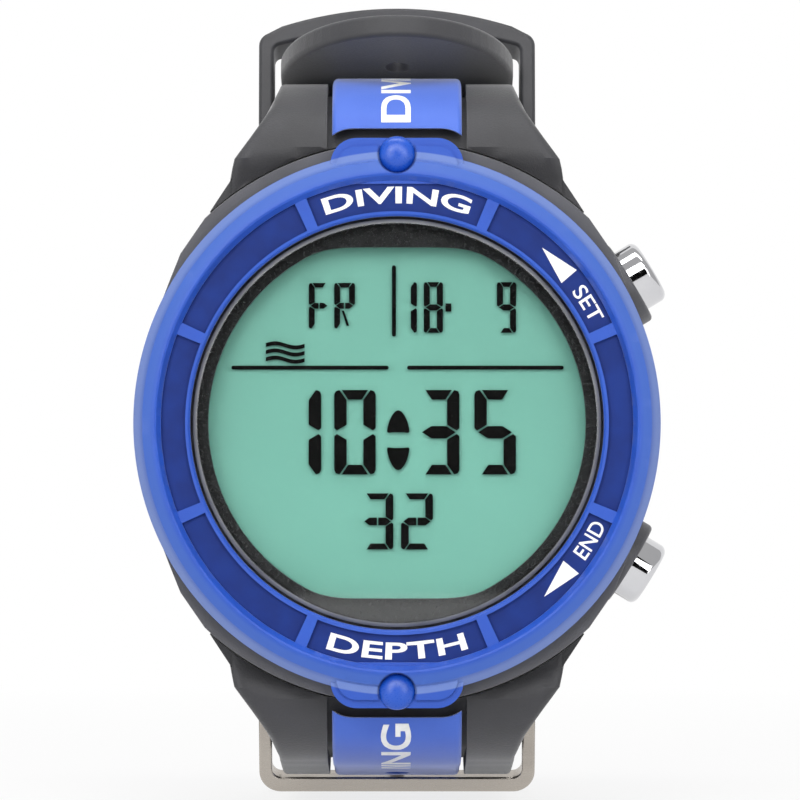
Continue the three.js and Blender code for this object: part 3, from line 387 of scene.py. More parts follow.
class Bench:
    """The modelling bench: starts pieces, picks what an edit acts on, cuts, rounds and finishes them."""

    @staticmethod
    def clear() -> None:
        """Leaves edit mode and deselects everything."""
        if bpy.context.mode != "OBJECT":
            bpy.ops.object.mode_set(mode="OBJECT")
        bpy.ops.object.select_all(action="DESELECT")

    @staticmethod
    def hold(piece: Piece) -> None:
        """Makes one piece the only selected and the active one.

        Args:
            piece: the piece.
        """
        Bench.clear()
        piece.select_set(True)
        bpy.context.view_layer.objects.active = piece

    @staticmethod
    def edit(piece: Piece) -> None:
        """Opens a piece in edit mode with all of it selected.

        Args:
            piece: the piece.
        """
        Bench.hold(piece)
        bpy.ops.object.mode_set(mode="EDIT")
        bpy.ops.mesh.select_all(action="SELECT")

    @staticmethod
    def started(name: str) -> Piece:
        """Names the primitive that was just added and returns it.

        Args:
            name: the new piece's name.

        Returns:
            The piece.
        """
        piece = bpy.context.object
        piece.name = name
        piece.data.name = name
        return piece

    @staticmethod
    def pick(piece: Piece, part: Part, test: Callable[[Any], bool]) -> list[int]:
        """Selects the faces, edges or vertices that pass a test, in edit mode.

        Args:
            piece: the piece in edit mode.
            part: what to select.
            test: says whether one is wanted.

        Returns:
            The indices that were selected.
        """
        mesh = bmesh.from_edit_mesh(piece.data)
        bpy.context.tool_settings.mesh_select_mode = (part is Part.VERTICES, part is Part.EDGES,
                                                      part is Part.FACES)
        for group in (mesh.faces, mesh.edges, mesh.verts):
            for element in group:
                element.select = False
        chosen = [element for element in getattr(mesh, part.value) if test(element)]
        for element in chosen:
            element.select_set(True)
        mesh.select_flush_mode()
        bmesh.update_edit_mesh(piece.data)
        return [element.index for element in chosen]

    @staticmethod
    def outward() -> None:
        """Merges doubles, turns all normals outwards and leaves edit mode."""
        bpy.ops.mesh.select_all(action="SELECT")
        bpy.ops.mesh.remove_doubles(threshold=0.0005)
        bpy.ops.mesh.normals_make_consistent(inside=False)
        bpy.ops.object.mode_set(mode="OBJECT")

    @staticmethod
    def turned(name: str, profile: Sequence[Point2], steps: int = 96) -> Piece:
        """Turns a profile about the Y axis, as on a lathe.

        Args:
            name: the piece's name.
            profile: points as (radius, y). A ring repeats its first point last.
            steps: facets round the axis.

        Returns:
            The closed shell.
        """
        Bench.clear()
        bpy.ops.mesh.primitive_plane_add(size=1, location=(0, 0, 0))
        piece = Bench.started(name)
        bpy.ops.object.mode_set(mode="EDIT")
        bpy.context.tool_settings.mesh_select_mode = (True, False, False)
        bpy.ops.mesh.select_all(action="SELECT")
        bpy.ops.mesh.merge(type="CENTER")
        bpy.ops.transform.translate(value=(profile[0][0], profile[0][1], 0))
        for (r0, y0), (r1, y1) in zip(profile, profile[1:]):
            bpy.ops.mesh.extrude_vertices_move(TRANSFORM_OT_translate={"value": (r1 - r0, y1 - y0, 0)})
        bpy.ops.mesh.select_all(action="SELECT")
        bpy.ops.mesh.spin(steps=steps, dupli=False, angle=2 * math.pi, center=(0, 0, 0), axis=(0, 1, 0))
        Bench.outward()
        return piece

    @staticmethod
    def sheet(name: str, outline: Sequence[Point2], y: float) -> Piece:
        """A flat sheet in the face's plane.

        Args:
            name: the piece's name.
            outline: its corners as (x, z).
            y: its depth.

        Returns:
            The sheet, one face.
        """
        Bench.clear()
        bpy.ops.mesh.primitive_circle_add(vertices=len(outline), radius=1, fill_type="NGON")
        piece = Bench.started(name)
        for vertex, (x, z) in zip(piece.data.vertices, outline):
            vertex.co = (x, y, z)
        return piece

    @staticmethod
    def thicken(piece: Piece, reach: Sequence[float]) -> Piece:
        """Extrudes all of a flat sheet into a solid.

        Args:
            piece: the sheet.
            reach: the extrusion, as a vector.

        Returns:
            The same piece.
        """
        Bench.edit(piece)
        bpy.ops.mesh.extrude_region_move(TRANSFORM_OT_translate={"value": tuple(reach)})
        Bench.outward()
        return piece

    @staticmethod
    def plate(name: str, outline: Sequence[Point2], y0: float, y1: float) -> Piece:
        """A plate with an outline in the face's plane, from one depth to another.

        Args:
            name: the piece's name.
            outline: its corners as (x, z).
            y0: its front.
            y1: its back.

        Returns:
            The plate.
        """
        return Bench.thicken(Bench.sheet(name, outline, y0), (0, y1 - y0, 0))

    @staticmethod
    def rod(name: str, radius: float, x0: float, x1: float, y: float, z: float, sides: int = 48) -> Piece:
        """A rod along X with chamfered ends.

        Args:
            name: the piece's name.
            radius: its radius.
            x0: one end.
            x1: the other end.
            y: its depth.
            z: its height.
            sides: facets round it.

        Returns:
            The rod.
        """
        Bench.clear()
        bpy.ops.mesh.primitive_cylinder_add(vertices=sides, radius=radius, depth=x1 - x0,
                                            location=((x0 + x1) / 2, y, z), rotation=(0, math.pi / 2, 0))
        piece = Bench.started(name)
        bpy.ops.object.transform_apply(location=True, rotation=True, scale=True)
        return Bench.rounded(piece, min(0.15, radius * 0.2), 60, 2)

    @staticmethod
    def cutter(radius: float, x: float, z: float, y0: float, y1: float, sides: int = 64) -> Piece:
        """A cylinder along Y, to cut with.

        Args:
            radius: its radius.
            x: its place across.
            z: its height.
            y0: its front.
            y1: its back.
            sides: facets round it.

        Returns:
            The cylinder.
        """
        Bench.clear()
        bpy.ops.mesh.primitive_cylinder_add(vertices=sides, radius=radius, depth=y1 - y0,
                                            location=(x, (y0 + y1) / 2, z), rotation=(math.pi / 2, 0, 0))
        piece = Bench.started("cutter")
        bpy.ops.object.transform_apply(location=True, rotation=True, scale=True)
        return piece

    @staticmethod
    def block(low: Sequence[float], high: Sequence[float]) -> Piece:
        """A block between two corners, to cut with.

        Args:
            low: corner with the least coordinates.
            high: corner with the greatest coordinates.

        Returns:
            The cutter.
        """
        Bench.clear()
        centre = [(a + b) / 2 for a, b in zip(low, high)]
        bpy.ops.mesh.primitive_cube_add(size=1, location=centre, scale=[b - a for a, b in zip(low, high)])
        piece = Bench.started("cutter")
        bpy.ops.object.transform_apply(location=True, rotation=True, scale=True)
        return piece

    @staticmethod
    def modify(piece: Piece, kind: str, **settings: Any) -> Piece:
        """Adds a modifier and applies it.

        Args:
            piece: the piece.
            kind: the modifier's type.
            settings: its properties.

        Returns:
            The same piece.
        """
        Bench.hold(piece)
        bpy.ops.object.modifier_add(type=kind)
        modifier = piece.modifiers[-1]
        for name, value in settings.items():
            setattr(modifier, name, value)
        bpy.ops.object.modifier_apply(modifier=modifier.name)
        return piece

    @staticmethod
    def carve(piece: Piece, tool: Piece, operation: str = "DIFFERENCE") -> Piece:
        """Cuts a piece with a tool, or welds the tool on, and removes the tool.

        Args:
            piece: the piece.
            tool: the cutter, or the piece to weld on.
            operation: the Boolean modifier's operation.

        Returns:
            The same piece.
        """
        Bench.modify(piece, "BOOLEAN", object=tool, operation=operation, solver="EXACT")
        bpy.data.objects.remove(tool, do_unlink=True)
        return piece

    @staticmethod
    def rounded(piece: Piece, width: float, angle: float = 35, segments: int = 3) -> Piece:
        """Rounds every edge sharper than an angle.

        Args:
            piece: the piece.
            width: the rounding's width.
            angle: the least angle in degrees between two faces.
            segments: facets across the rounding.

        Returns:
            The same piece.
        """
        return Bench.modify(piece, "BEVEL", width=width, segments=segments, limit_method="ANGLE",
                            angle_limit=angle * DEGREE, use_clamp_overlap=True)

    @staticmethod
    def sliced(piece: Piece, axis: int, places: Iterable[float]) -> Piece:
        """Cuts extra edge loops across a piece, so that it can bend there.

        Args:
            piece: the piece.
            axis: the axis that the cuts are square to.
            places: where they are along it.

        Returns:
            The same piece.
        """
        Bench.edit(piece)
        normal = tuple(1.0 if i == axis else 0.0 for i in range(3))
        for place in places:
            bpy.ops.mesh.select_all(action="SELECT")
            bpy.ops.mesh.bisect(plane_co=tuple(place * n for n in normal), plane_no=normal)
        bpy.ops.object.mode_set(mode="OBJECT")
        return piece

    @staticmethod
    def moved(piece: Piece, place: Matrix) -> Piece:
        """Moves a piece and puts its place in its mesh.

        Args:
            piece: the piece.
            place: the move.

        Returns:
            The same piece.
        """
        Bench.hold(piece)
        piece.matrix_world = place @ piece.matrix_world
        bpy.ops.object.transform_apply(location=True, rotation=True, scale=True)
        return piece

    @staticmethod
    def copied(piece: Piece, name: str) -> Piece:
        """A copy of a piece with its own mesh.

        Args:
            piece: the piece.
            name: the new piece's name.

        Returns:
            The copy.
        """
        Bench.hold(piece)
        bpy.ops.object.duplicate(linked=False)
        return Bench.started(name)

    @staticmethod
    def joined(name: str, pieces: Sequence[Piece]) -> Piece:
        """Joins several pieces into one.

        Args:
            name: the new piece's name.
            pieces: the pieces.

        Returns:
            The joined piece.
        """
        Bench.clear()
        for piece in pieces:
            piece.select_set(True)
        bpy.context.view_layer.objects.active = pieces[0]
        if len(pieces) > 1:
            bpy.ops.object.join()
        return Bench.started(name)

    @staticmethod
    def lettering(name: str, words: str, height: float, width: float, weight: float = 0.012) -> Piece:
        """Plain capitals in the face's plane, centred on the origin, as a thin solid.

        Args:
            name: the piece's name.
            words: the letters.
            height: the capitals' height.
            width: the whole word's width.
            weight: how much the strokes are thickened, in the font's own unit.

        Returns:
            The lettering, 0.02 mm thick, facing -Y.
        """
        Bench.clear()
        bpy.ops.object.text_add(location=(0, 0, 0))
        bpy.context.object.data.body = words
        bpy.context.object.data.offset = weight
        bpy.context.object.data.extrude = 0.01
        bpy.context.object.data.resolution_u = 6
        bpy.ops.object.convert(target="MESH")
        piece = Bench.started(name)
        xs = [v.co.x for v in piece.data.vertices]
        ys = [v.co.y for v in piece.data.vertices]
        middle = Matrix.Translation((-(min(xs) + max(xs)) / 2, -(min(ys) + max(ys)) / 2, 0))
        size = Matrix.Diagonal((width / (max(xs) - min(xs)), height / (max(ys) - min(ys)), 1, 1))
        Bench.moved(piece, Matrix.Rotation(math.pi / 2, 4, "X") @ size @ middle)
        Bench.edit(piece)
        Bench.outward()
        return piece

    @staticmethod
    def finish(piece: Piece, body: str, finishes: Sequence[Finish], replaces: Sequence[str] = (),
               slot: Optional[str] = None, smooth: float = 35) -> Piece:
        """Brings a piece to metres, dresses it and puts it on its body.

        Args:
            piece: the finished mesh, in millimetres.
            body: the CAD body that it rides on.
            finishes: its finishes, by material slot.
            replaces: the CAD nodes that it stands for.
            slot: not used.
            smooth: the angle in degrees under which edges are shaded smooth.

        Returns:
            The same piece.
        """
        Bench.moved(piece, Matrix.Scale(MM, 4))
        bpy.ops.object.shade_smooth_by_angle(angle=smooth * DEGREE)
        Bench.modify(piece, "WEIGHTED_NORMAL", keep_sharp=True, weight=90)
        for i, finish in enumerate(finishes):
            if i < len(piece.data.materials):
                piece.data.materials[i] = finish.material()
            else:
                piece.data.materials.append(finish.material())
        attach(piece, body)
        if replaces:
            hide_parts(*replaces)
        log.info("%s: %d faces, on %s", piece.name, len(piece.data.polygons), body)
        return piece


def polar(radius: float, degrees: float) -> Point2:
    """Point in the face's plane at a radius and an angle from +X towards +Z."""
    return radius * math.cos(degrees * DEGREE), radius * math.sin(degrees * DEGREE)


def arc(centre: Point2, radius: float, start: float, end: float, steps: int) -> list[Point2]:
    """Points along an arc in the face's plane.

    Args:
        centre: its centre as (x, z).
        radius: its radius.
        start: first angle in degrees.
        end: last angle in degrees.
        steps: how many chords.

    Returns:
        The points, both ends included.
    """
    turns = [start + (end - start) * i / steps for i in range(steps + 1)]
    return [(centre[0] + polar(radius, turn)[0], centre[1] + polar(radius, turn)[1]) for turn in turns]


def blend_between(share: float, low: float, high: float) -> float:
    """Smooth step of a share between two limits, from 0 to 1."""
    t = min(1.0, max(0.0, (share - low) / (high - low)))
    return t * t * (3 - 2 * t)


# ------------------------------------------------------------------------------------ bezel, lens, display

CASE_BODY = "case_and_strap"


@dataclass
class Bezel:
    """The blue bezel ring with its pockets, tabs, studs and printed legends."""

    inner: float = 19.6
    ledge: float = 20.05
    pocket: float = 22.35
    crest: float = 22.95
    chamfer: float = 24.1
    outer: float = 25.0
    ledge_y: float = -0.9
    floor_y: float = -0.35
    crest_y: float = -1.6
    chamfer_y: float = -1.15
    back_y: float = 1.8
    tab_y: float = -0.3
    step_y: float = -0.78
    stud_z: float = 25.45
    stud: float = 1.72
    dome: float = 0.85
    tallness: float = 0.029
    print_y: float = -0.36
    legend_radius: float = 21.35
    ribs: tuple[float, ...] = (23.5, 66.5, 113.5, 156.5, 203.5, 246.5, 293.5, 336.5)
    half_rib: float = 1.5

    def in_pocket(self, face: bmesh.types.BMFace) -> bool:
        """True for a face of the ledge between two ribs.

        Args:
            face: the face.

        Returns:
            True when the face sinks with a pocket.
        """
        centre = face.calc_center_median()
        radius = math.hypot(centre.x, centre.z)
        turn = math.degrees(math.atan2(centre.z, centre.x)) % 360
        on_ledge = self.ledge < radius < self.pocket and abs(centre.y - self.ledge_y) < 0.01
        return on_ledge and all(abs(turn - rib) > self.half_rib for rib in self.ribs)

    def stretched(self, piece: Piece) -> None:
        """Makes the ring's outer part a little taller than it is wide, as its mould is.

        Args:
            piece: the piece.
        """
        for vertex in piece.data.vertices:
            radius = math.hypot(vertex.co.x, vertex.co.z)
            lift = self.tallness * blend_between(radius, self.ledge,
                                                 self.pocket) * (vertex.co.z / radius) ** 2
            vertex.co.x *= 1 + lift
            vertex.co.z *= 1 + lift

    def tab(self, side: int, half_width: float, reach: float, corner: float, y: float) -> Piece:
        """A rounded tab at 12 (side 1) or 6 o'clock (side -1).

        Args:
            side: 1 for 12 o'clock, -1 for 6 o'clock.
            half_width: half its width.
            reach: its end, from the ring's axis.
            corner: radius of the corners.
            y: place of its front.

        Returns:
            The tab.
        """
        outline = [(half_width, self.pocket + 0.3)]
        outline += arc((half_width - corner, reach - corner), corner, 0, 90, 12)
        outline += arc((-half_width + corner, reach - corner), corner, 90, 180, 12)
        outline += [(-half_width, self.pocket + 0.3)]
        return Bench.plate("tab", [(x, side * z) for x, z in outline], y, self.back_y)

    def ring(self) -> Piece:
        """Turns the ring, sinks its pockets and adds its tabs.

        Returns:
            The ring.
        """
        section = [(24.6, self.back_y), (self.outer, 1.2), (self.outer, 0.3), (self.chamfer, self.chamfer_y),
                   (self.crest + 0.35, self.crest_y + 0.06), (self.crest, self.crest_y),
                   (self.crest - 0.18, self.crest_y + 0.08), (self.pocket, self.ledge_y),
                   (self.ledge, self.ledge_y), (self.inner + 0.2, self.ledge_y + 0.02),
                   (self.inner, self.ledge_y + 0.25), (self.inner, 0.5), (self.inner + 1.7, 0.5),
                   (self.inner + 1.7, self.back_y), (24.6, self.back_y)]
        ring = Bench.turned("bezel", section, 360)
        Bench.edit(ring)
        Bench.pick(ring, Part.FACES, self.in_pocket)
        bpy.ops.mesh.extrude_region_move(
            TRANSFORM_OT_translate={"value": (0, self.floor_y - self.ledge_y, 0)})
        mesh = bmesh.from_edit_mesh(ring.data)
        # The pocket floors get the second material, whose darker blue is painted shade.
        for face in mesh.faces:
            face.material_index = int(face.select)
        bpy.ops.object.mode_set(mode="OBJECT")
        ring.data.materials.append(BEZEL_BLUE.material())
        ring.data.materials.append(POCKET_SHADED_BLUE.material())
        self.stretched(ring)
        for side in (1, -1):
            Bench.carve(ring, self.tab(side, 6.3, 27.0, 2.5, self.tab_y), "UNION")
            Bench.carve(ring, self.tab(side, 5.75, 26.2, 2.0, self.step_y), "UNION")
            Bench.carve(ring, Bench.cutter(self.stud + 0.16, 0, side * self.stud_z, -3, self.tab_y))
        return Bench.rounded(ring, 0.13, 24, 3)

    def stud_piece(self, name: str, side: int) -> Piece:
        """A domed stud with its shank.

        Args:
            name: the new piece's name.
            side: 1 for 12 o'clock, -1 for 6 o'clock.

        Returns:
            The stud.
        """
        foot = self.tab_y - 0.03
        dome = [(self.stud * math.sin(a * DEGREE),
                 foot - self.dome * math.cos(a * DEGREE)) for a in range(0, 90, 9)]
        stud = Bench.turned(name, [*dome, (self.stud, foot - 0.02), (self.stud - 0.05, foot), (1.0, foot),
                                   (1.0, 6.0), (0, 6.0)], 64)
        return Bench.moved(stud, Matrix.Translation((0, 0, side * self.stud_z)))

    def curved(self, word: Piece, degrees: float, upright: bool) -> Piece:
        """Bends flat lettering along the pockets.

        Args:
            word: the lettering, centred on the origin.
            degrees: the angle of its middle.
            upright: True where the letters' tops point outwards.

        Returns:
            The same piece, in its place on the bezel.
        """
        sign = 1 if upright else -1
        radius = self.legend_radius + (0 if abs(math.sin(degrees * DEGREE)) < 0.9 else 0.25)
        for vertex in word.data.vertices:
            x, z = polar(radius + sign * vertex.co.z, degrees - sign * vertex.co.x / radius / DEGREE)
            vertex.co = (x, self.print_y + vertex.co.y, z)
        return word

    def legends(self) -> list[Piece]:
        """The printed words and arrows in the pockets.

        Returns:
            The words and arrows.
        """
        words = [
            self.curved(Bench.lettering("legend_top", "DIVING", 1.62, 14.2, 0.022), 90, True),
            self.curved(Bench.lettering("legend_bottom", "DEPTH", 1.62, 13.2, 0.022), 270, False),
            self.curved(Bench.lettering("legend_upper_button", "SET", 1.45, 3.6, 0.008), 32, True),
            self.curved(Bench.lettering("legend_lower_button", "END", 1.45, 3.7, 0.008), 328.8, False)]
        for name, base, tip in (("arrow_upper", 40.4, 50.4), ("arrow_lower", -39.6, -49.75)):
            corners = [polar(20.45, base), polar(22.35, base), polar(21.55, tip)]
            words.append(Bench.plate(name, corners, self.print_y - 0.01, self.print_y + 0.01))
        return words

    def build(self) -> None:
        """Builds and dresses the bezel's pieces."""
        Bench.finish(self.ring(), CASE_BODY, (BEZEL_BLUE, POCKET_SHADED_BLUE), ("bezel_ring",), "blue_bezel")
        for name, side in (("bezel_rivet_top", 1), ("bezel_rivet_bottom", -1)):
            Bench.finish(self.stud_piece(f"{name}_stud", side), CASE_BODY, (STUD_BLUE,), (name,),
                         "blue_bezel")
        for word in self.legends():
            Bench.finish(word, CASE_BODY, (WHITE_INK,), (), "white_plastic")


@dataclass
class Lens:
    """The flat mineral lens with its pale edge, a painted highlight, and the black border printed behind it.
    """

    radius: float = 19.35
    chamfer: float = 0.38
    thickness: float = 2.4
    border_y: float = 2.41
    window: float = 17.95
    window_blend: float = 0.9
    flat_z: float = 16.7

    def window_outline(self, radius: float, flat_z: float, steps: int = 40) -> list[Point2]:
        """Round window with a flat at the top and the bottom.

        Args:
            radius: radius of the round part.
            flat_z: height of the flats.
            steps: steps in a quarter turn.

        Returns:
            The outline.
        """
        points = []
        for x, z in arc((0, 0), radius, 0, 360 - 90 / steps, 4 * steps - 1):
            near = max(0.0, self.window_blend - abs(abs(z) - flat_z)) / self.window_blend
            points.append((x, math.copysign(min(abs(z), flat_z) - near * near * self.window_blend / 4, z)))
        return points

    def glass(self) -> Piece:
        """Turns the lens and marks its edge, which takes the pale grey of a painted highlight.

        Returns:
            The lens.
        """
        lens = Bench.turned("lens_glass", [(0, 0), (self.radius - self.chamfer, 0), (self.radius,
                                                                                     self.chamfer),
                                           (self.radius, self.thickness), (0, self.thickness)], 192)
        Bench.edit(lens)
        edge = set(Bench.pick(lens, Part.FACES,
                              lambda face: math.hypot(face.normal.x, face.normal.z) > 0.3))
        bpy.ops.object.mode_set(mode="OBJECT")
        lens.data.materials.append(LENS_GLASS.material())
        lens.data.materials.append(EDGE_PAINTED_HIGHLIGHT.material())
        for face in lens.data.polygons:
            face.material_index = int(face.index in edge)
        return Bench.rounded(lens, 0.04, 30, 2)

    def border(self) -> Piece:
        """The enamel border behind the lens, with the window in it.

        Returns:
            The border.
        """
        border = Bench.plate("lens_border_print", arc((0, 0), self.radius - 0.4, 0, 357.5, 143),
                             self.border_y,
                             self.border_y + 0.02)
        window = Bench.plate("cutter", self.window_outline(self.window, self.flat_z), self.border_y - 1,
                             self.border_y + 1)
        return Bench.carve(border, window)

    def surround(self) -> Piece:
        """The moulded surround between the lens and the display, with two locating notches.

        Returns:
            The surround.
        """
        surround = Bench.plate("display_surround", arc((0, 0), 18.4, 0, 357.5, 143), 2.45, 4.2)
        Bench.carve(surround, Bench.plate("cutter", self.window_outline(self.window, self.flat_z), 1, 6))
        for turn in (-47.5, -134):
            notch = Bench.block((18.15, 2, -1.6), (18.9, 3.1, 1.6))
            Bench.carve(surround, Bench.moved(notch, Matrix.Rotation(-turn * DEGREE, 4, "Y")))
        return Bench.rounded(surround, 0.08, 35, 2)

    def build(self) -> None:
        """Builds and dresses the lens's pieces."""
        Bench.finish(self.glass(), CASE_BODY, (LENS_GLASS, EDGE_PAINTED_HIGHLIGHT), ("lens",), "lens_glass", 20)
        Bench.finish(self.border(), CASE_BODY, (BORDER_ENAMEL,), (), "display_black")
        Bench.finish(self.surround(), CASE_BODY, (MASK_BLACK,), ("display_mask",), "display_black")


@dataclass(frozen=True)
class Digit:
    """One seven-segment figure: its lower left corner, size, stroke and lit segments (a to g)."""

    x: float
    z: float
    width: float
    height: float
    stroke: float
    lit: str
    split: bool = False

    def segments(self) -> dict[str, list[Point2]]:
        """Outlines of the seven segments, as corner points from the figure's lower left corner.

        Returns:
            Each segment's outline by its letter.
        """
        w, h, s = self.width, self.height, self.stroke
        half = h / 2
        side = [(w - 0.42 * s, h), (w - 0.12 * s, h - 0.1 * s), (w, h - 0.36 * s), (w, half + 0.33 * s),
                (w - 0.22 * s, half + 0.14 * s), (w - s, half + 0.6 * s), (w - s, h - 0.8 * s)]
        bar = [(0.6 * s, h), (w - 0.62 * s, h), (w - 1.12 * s, h - 0.78 * s), (1.12 * s, h - 0.78 * s)]
        middle = [(0.3 * s, half), (1.08 * s, half + 0.5 * s), (w - 1.08 * s, half + 0.5 * s),
                  (w - 0.3 * s, half),
                  (w - 1.08 * s, half - 0.5 * s), (1.08 * s, half - 0.5 * s)]
        return {"a": bar, "b": side, "c": self.under(side), "d": self.under(bar),
                "e": self.across(self.under(side)), "f": self.across(side), "g": middle}

    def across(self, points: Sequence[Point2]) -> list[Point2]:
        """An outline mirrored left to right."""
        return [(self.width - x, z) for x, z in reversed(points)]

    def under(self, points: Sequence[Point2]) -> list[Point2]:
        """An outline mirrored top to bottom."""
        return [(x, self.height - z) for x, z in reversed(points)]

    def outlines(self) -> list[list[Point2]]:
        """Outlines of the lit segments in the face's plane.

        Returns:
            The outlines.
        """
        shapes = self.segments()
        chosen = [shapes[name] for name in self.lit if name != "g" or not self.split]
        if self.split:
            gap, reach = 0.06, 0.95 * self.stroke
            middle, half, rise = self.width / 2, self.height / 2, 0.5 * self.stroke
            chosen.append([(0.3 * self.stroke, half), (reach, half + rise), (middle - gap, half + rise),
                           (middle - gap, half - rise), (reach, half - rise)])
            chosen.append([(middle + gap, half + rise), (self.width - reach, half + rise),
                           (self.width - 0.3 * self.stroke, half), (self.width - reach, half - rise),
                           (middle + gap, half - rise)])
        return [[(self.x + x, self.z + z) for x, z in shape] for shape in chosen]


@dataclass
class Display:
    """The liquid crystal display: reflector film, and lit segments that float just in front of it."""

    radius: float = 18.3
    film_y: float = 4.72
    back_y: float = 5.9
    crystal_y: float = 4.32
    crystal_depth: float = 0.06

    def figures(self) -> list[list[Point2]]:
        """Outlines of every lit figure.

        Returns:
            The outlines.
        """
        digits = [
            Digit(-11.12, -4.9, 3.9, 8.05, 1.2, "bc"), Digit(-5.98, -4.9, 3.95, 8.05, 1.18, "abcdef"),
            Digit(2.0, -4.9, 3.95, 8.05, 1.18, "abcdg"), Digit(7.38, -4.9, 3.95, 8.05, 1.18, "acdfg"),
            Digit(0.1, 8.6, 1.8, 4.83, 0.58, "bc"), Digit(2.55, 8.6, 1.83, 4.83, 0.58, "abcdefg"),
            Digit(9.52, 8.6, 1.83, 4.83, 0.58, "abcdfg"),
            Digit(-8.4, 9.0, 1.95, 4.35, 0.56, "aefg", True), Digit(-5.98, 9.0, 1.97, 4.35, 0.56, "abefg",
                                                                    True),
            Digit(-3.35, -12.05, 3.0, 5.35, 0.74, "abcdg", True),
            Digit(0.38, -12.05, 3.05, 5.35, 0.74, "abdeg", True)]
        outlines = [shape for digit in digits for shape in digit.outlines()]
        leg = [(-5.28, 10.72), (-5.05, 10.72), (-4.55, 9.28), (-4.8, 9.24)]
        dot = [(4.62, 10.62), (5.18, 10.62), (5.18, 11.4), (4.62, 11.4)]
        outlines += [leg, dot, self.bar(-0.29, 8.42, -0.29, 14.85, 0.19),
                     self.bar(-15.6, 5.28, -0.98, 5.28, 0.19),
                     self.bar(1.15, 5.28, 15.7, 5.28, 0.19)]
        for flip in (1, -1):
            outlines.append(self.petal(0.12, -1.63, flip))
        return outlines + [self.wave(7.4 - 0.68 * i) for i in range(3)]

    @staticmethod
    def bar(x0: float, z0: float, x1: float, z1: float, half: float) -> list[Point2]:
        """A rule with rounded ends."""
        turn = math.degrees(math.atan2(z1 - z0, x1 - x0))
        return arc((x1, z1), half, turn - 90, turn + 90, 6) + arc((x0, z0), half, turn + 90, turn + 270, 6)

    @staticmethod
    def petal(x: float, z: float, flip: int) -> list[Point2]:
        """One of the two rounded triangles of the colon, above (flip 1) or below (flip -1) the middle.

        Args:
            x: the colon's middle across.
            z: the colon's middle in height.
            flip: 1 for above the middle, -1 for below.

        Returns:
            The outline.
        """
        half = [(0.0, 2.18), (0.28, 2.08), (0.58, 1.72), (0.84, 1.2), (1.02, 0.55), (1.08, 0.15), (0.95, 0.0),
                (0.45, 0.06)]
        points = half + [(-a, b) for a, b in reversed(half[1:])]
        return [(x + a, z + flip * (0.68 + b)) for a, b in points][::flip]

    @staticmethod
    def wave(z: float) -> list[Point2]:
        """A stroke of the water sign.

        Args:
            z: the stroke's height.

        Returns:
            The outline.
        """
        xs = [-12.5 + 3.7 * i / 14 for i in range(15)]
        rise = [0.2 * math.sin(2 * math.pi * (x + 12.5) / 3.9 + 0.15) for x in xs]
        upper = [(x, z + r + 0.19) for x, r in zip(xs, rise)]
        return upper + [(x, z + r - 0.19) for x, r in reversed(list(zip(xs, rise)))]

    def build(self) -> None:
        """Builds and dresses the display's pieces."""
        film = Bench.turned("display_film", [(0, self.film_y), (self.radius, self.film_y),
                                             (self.radius, self.back_y), (0, self.back_y)], 128)
        Bench.rounded(film, 0.06, 35, 2)
        sheets = [Bench.sheet("segment", outline, self.crystal_y) for outline in self.figures()]
        crystal = Bench.thicken(Bench.joined("display_segments", sheets), (0, self.crystal_depth, 0))
        Bench.finish(film, CASE_BODY, (LCD_GREEN,), ("lcd_panel",), "display_panel")
        Bench.finish(crystal, CASE_BODY, (CRYSTAL_BLACK,), (), "display_black")


# ------------------------------------------------------------------------------------------- case and back

@dataclass
class Case:
    """The moulded case: round sides, shoulders, and the arcs that the strap's ends hug."""

    front_y: float = 2.1
    back_y: float = 13.0
    side: float = 24.9
    arc_radius: float = 26.7
    arc_angle: float = 43.2
    seat: float = 19.65
    cavity: float = 18.65
    shoulder: tuple[Point2, ...] = ((22.9, 10.2), (21.6, 13.6), (20.6, 16.1))

    def outline(self) -> list[Point2]:
        """The case's front outline, quarter by quarter.

        Returns:
            The outline.
        """
        quarter = arc((0, 0), self.side, 0, 24, 16) + list(self.shoulder)
        quarter += arc((0, 0), self.arc_radius, 90 - self.arc_angle, 90, 32)
        left = [(-x, z) for x, z in reversed(quarter)][1:]
        upper = quarter + left
        return upper + [(x, -z) for x, z in reversed(upper)][1:-1]

    def body(self) -> Piece:
        """Extrudes the case and opens it for the lens, the display, the pins and the buttons.

        Returns:
            The case.
        """
        body = Bench.plate("case", self.outline(), self.front_y, self.back_y)
        Bench.rounded(body, 0.45, 50, 4)
        collar = Bench.turned("collar", [(self.seat, 0.8), (21.0, 0.8), (21.0, 3.0), (self.seat, 3.0),
                                         (self.seat, 0.8)], 128)
        Bench.carve(body, collar, "UNION")
        Bench.carve(body, Bench.cutter(self.seat, 0, 0, 0, 2.9, 128))
        Bench.carve(body, Bench.cutter(self.cavity, 0, 0, 2, 14, 128))
        joint = Bench.turned("joint", [(24.75, 11.3), (30, 11.3), (30, 11.6), (24.75, 11.6), (24.75, 11.3)],
                             128)
        Bench.carve(body, joint)
        for side in (1, -1):
            Bench.carve(body, Bench.cutter(1.1, 0, side * 25.45, 0, 6.3))
            seat = Bench.turned("seat", [(0, 16), (1.4, 16), (1.4, 21.4), (3.85, 21.4), (3.85, 24.7),
                                         (4.5, 24.7), (4.5, 30), (0, 30)], 64)
            Bench.carve(body, Bench.moved(seat, PushButton.place(side)))
        return body

    def build(self) -> None:
        """Builds and dresses the case."""
        Bench.finish(self.body(), CASE_BODY, (CASE_NYLON,), ("case_body",), "black_case")


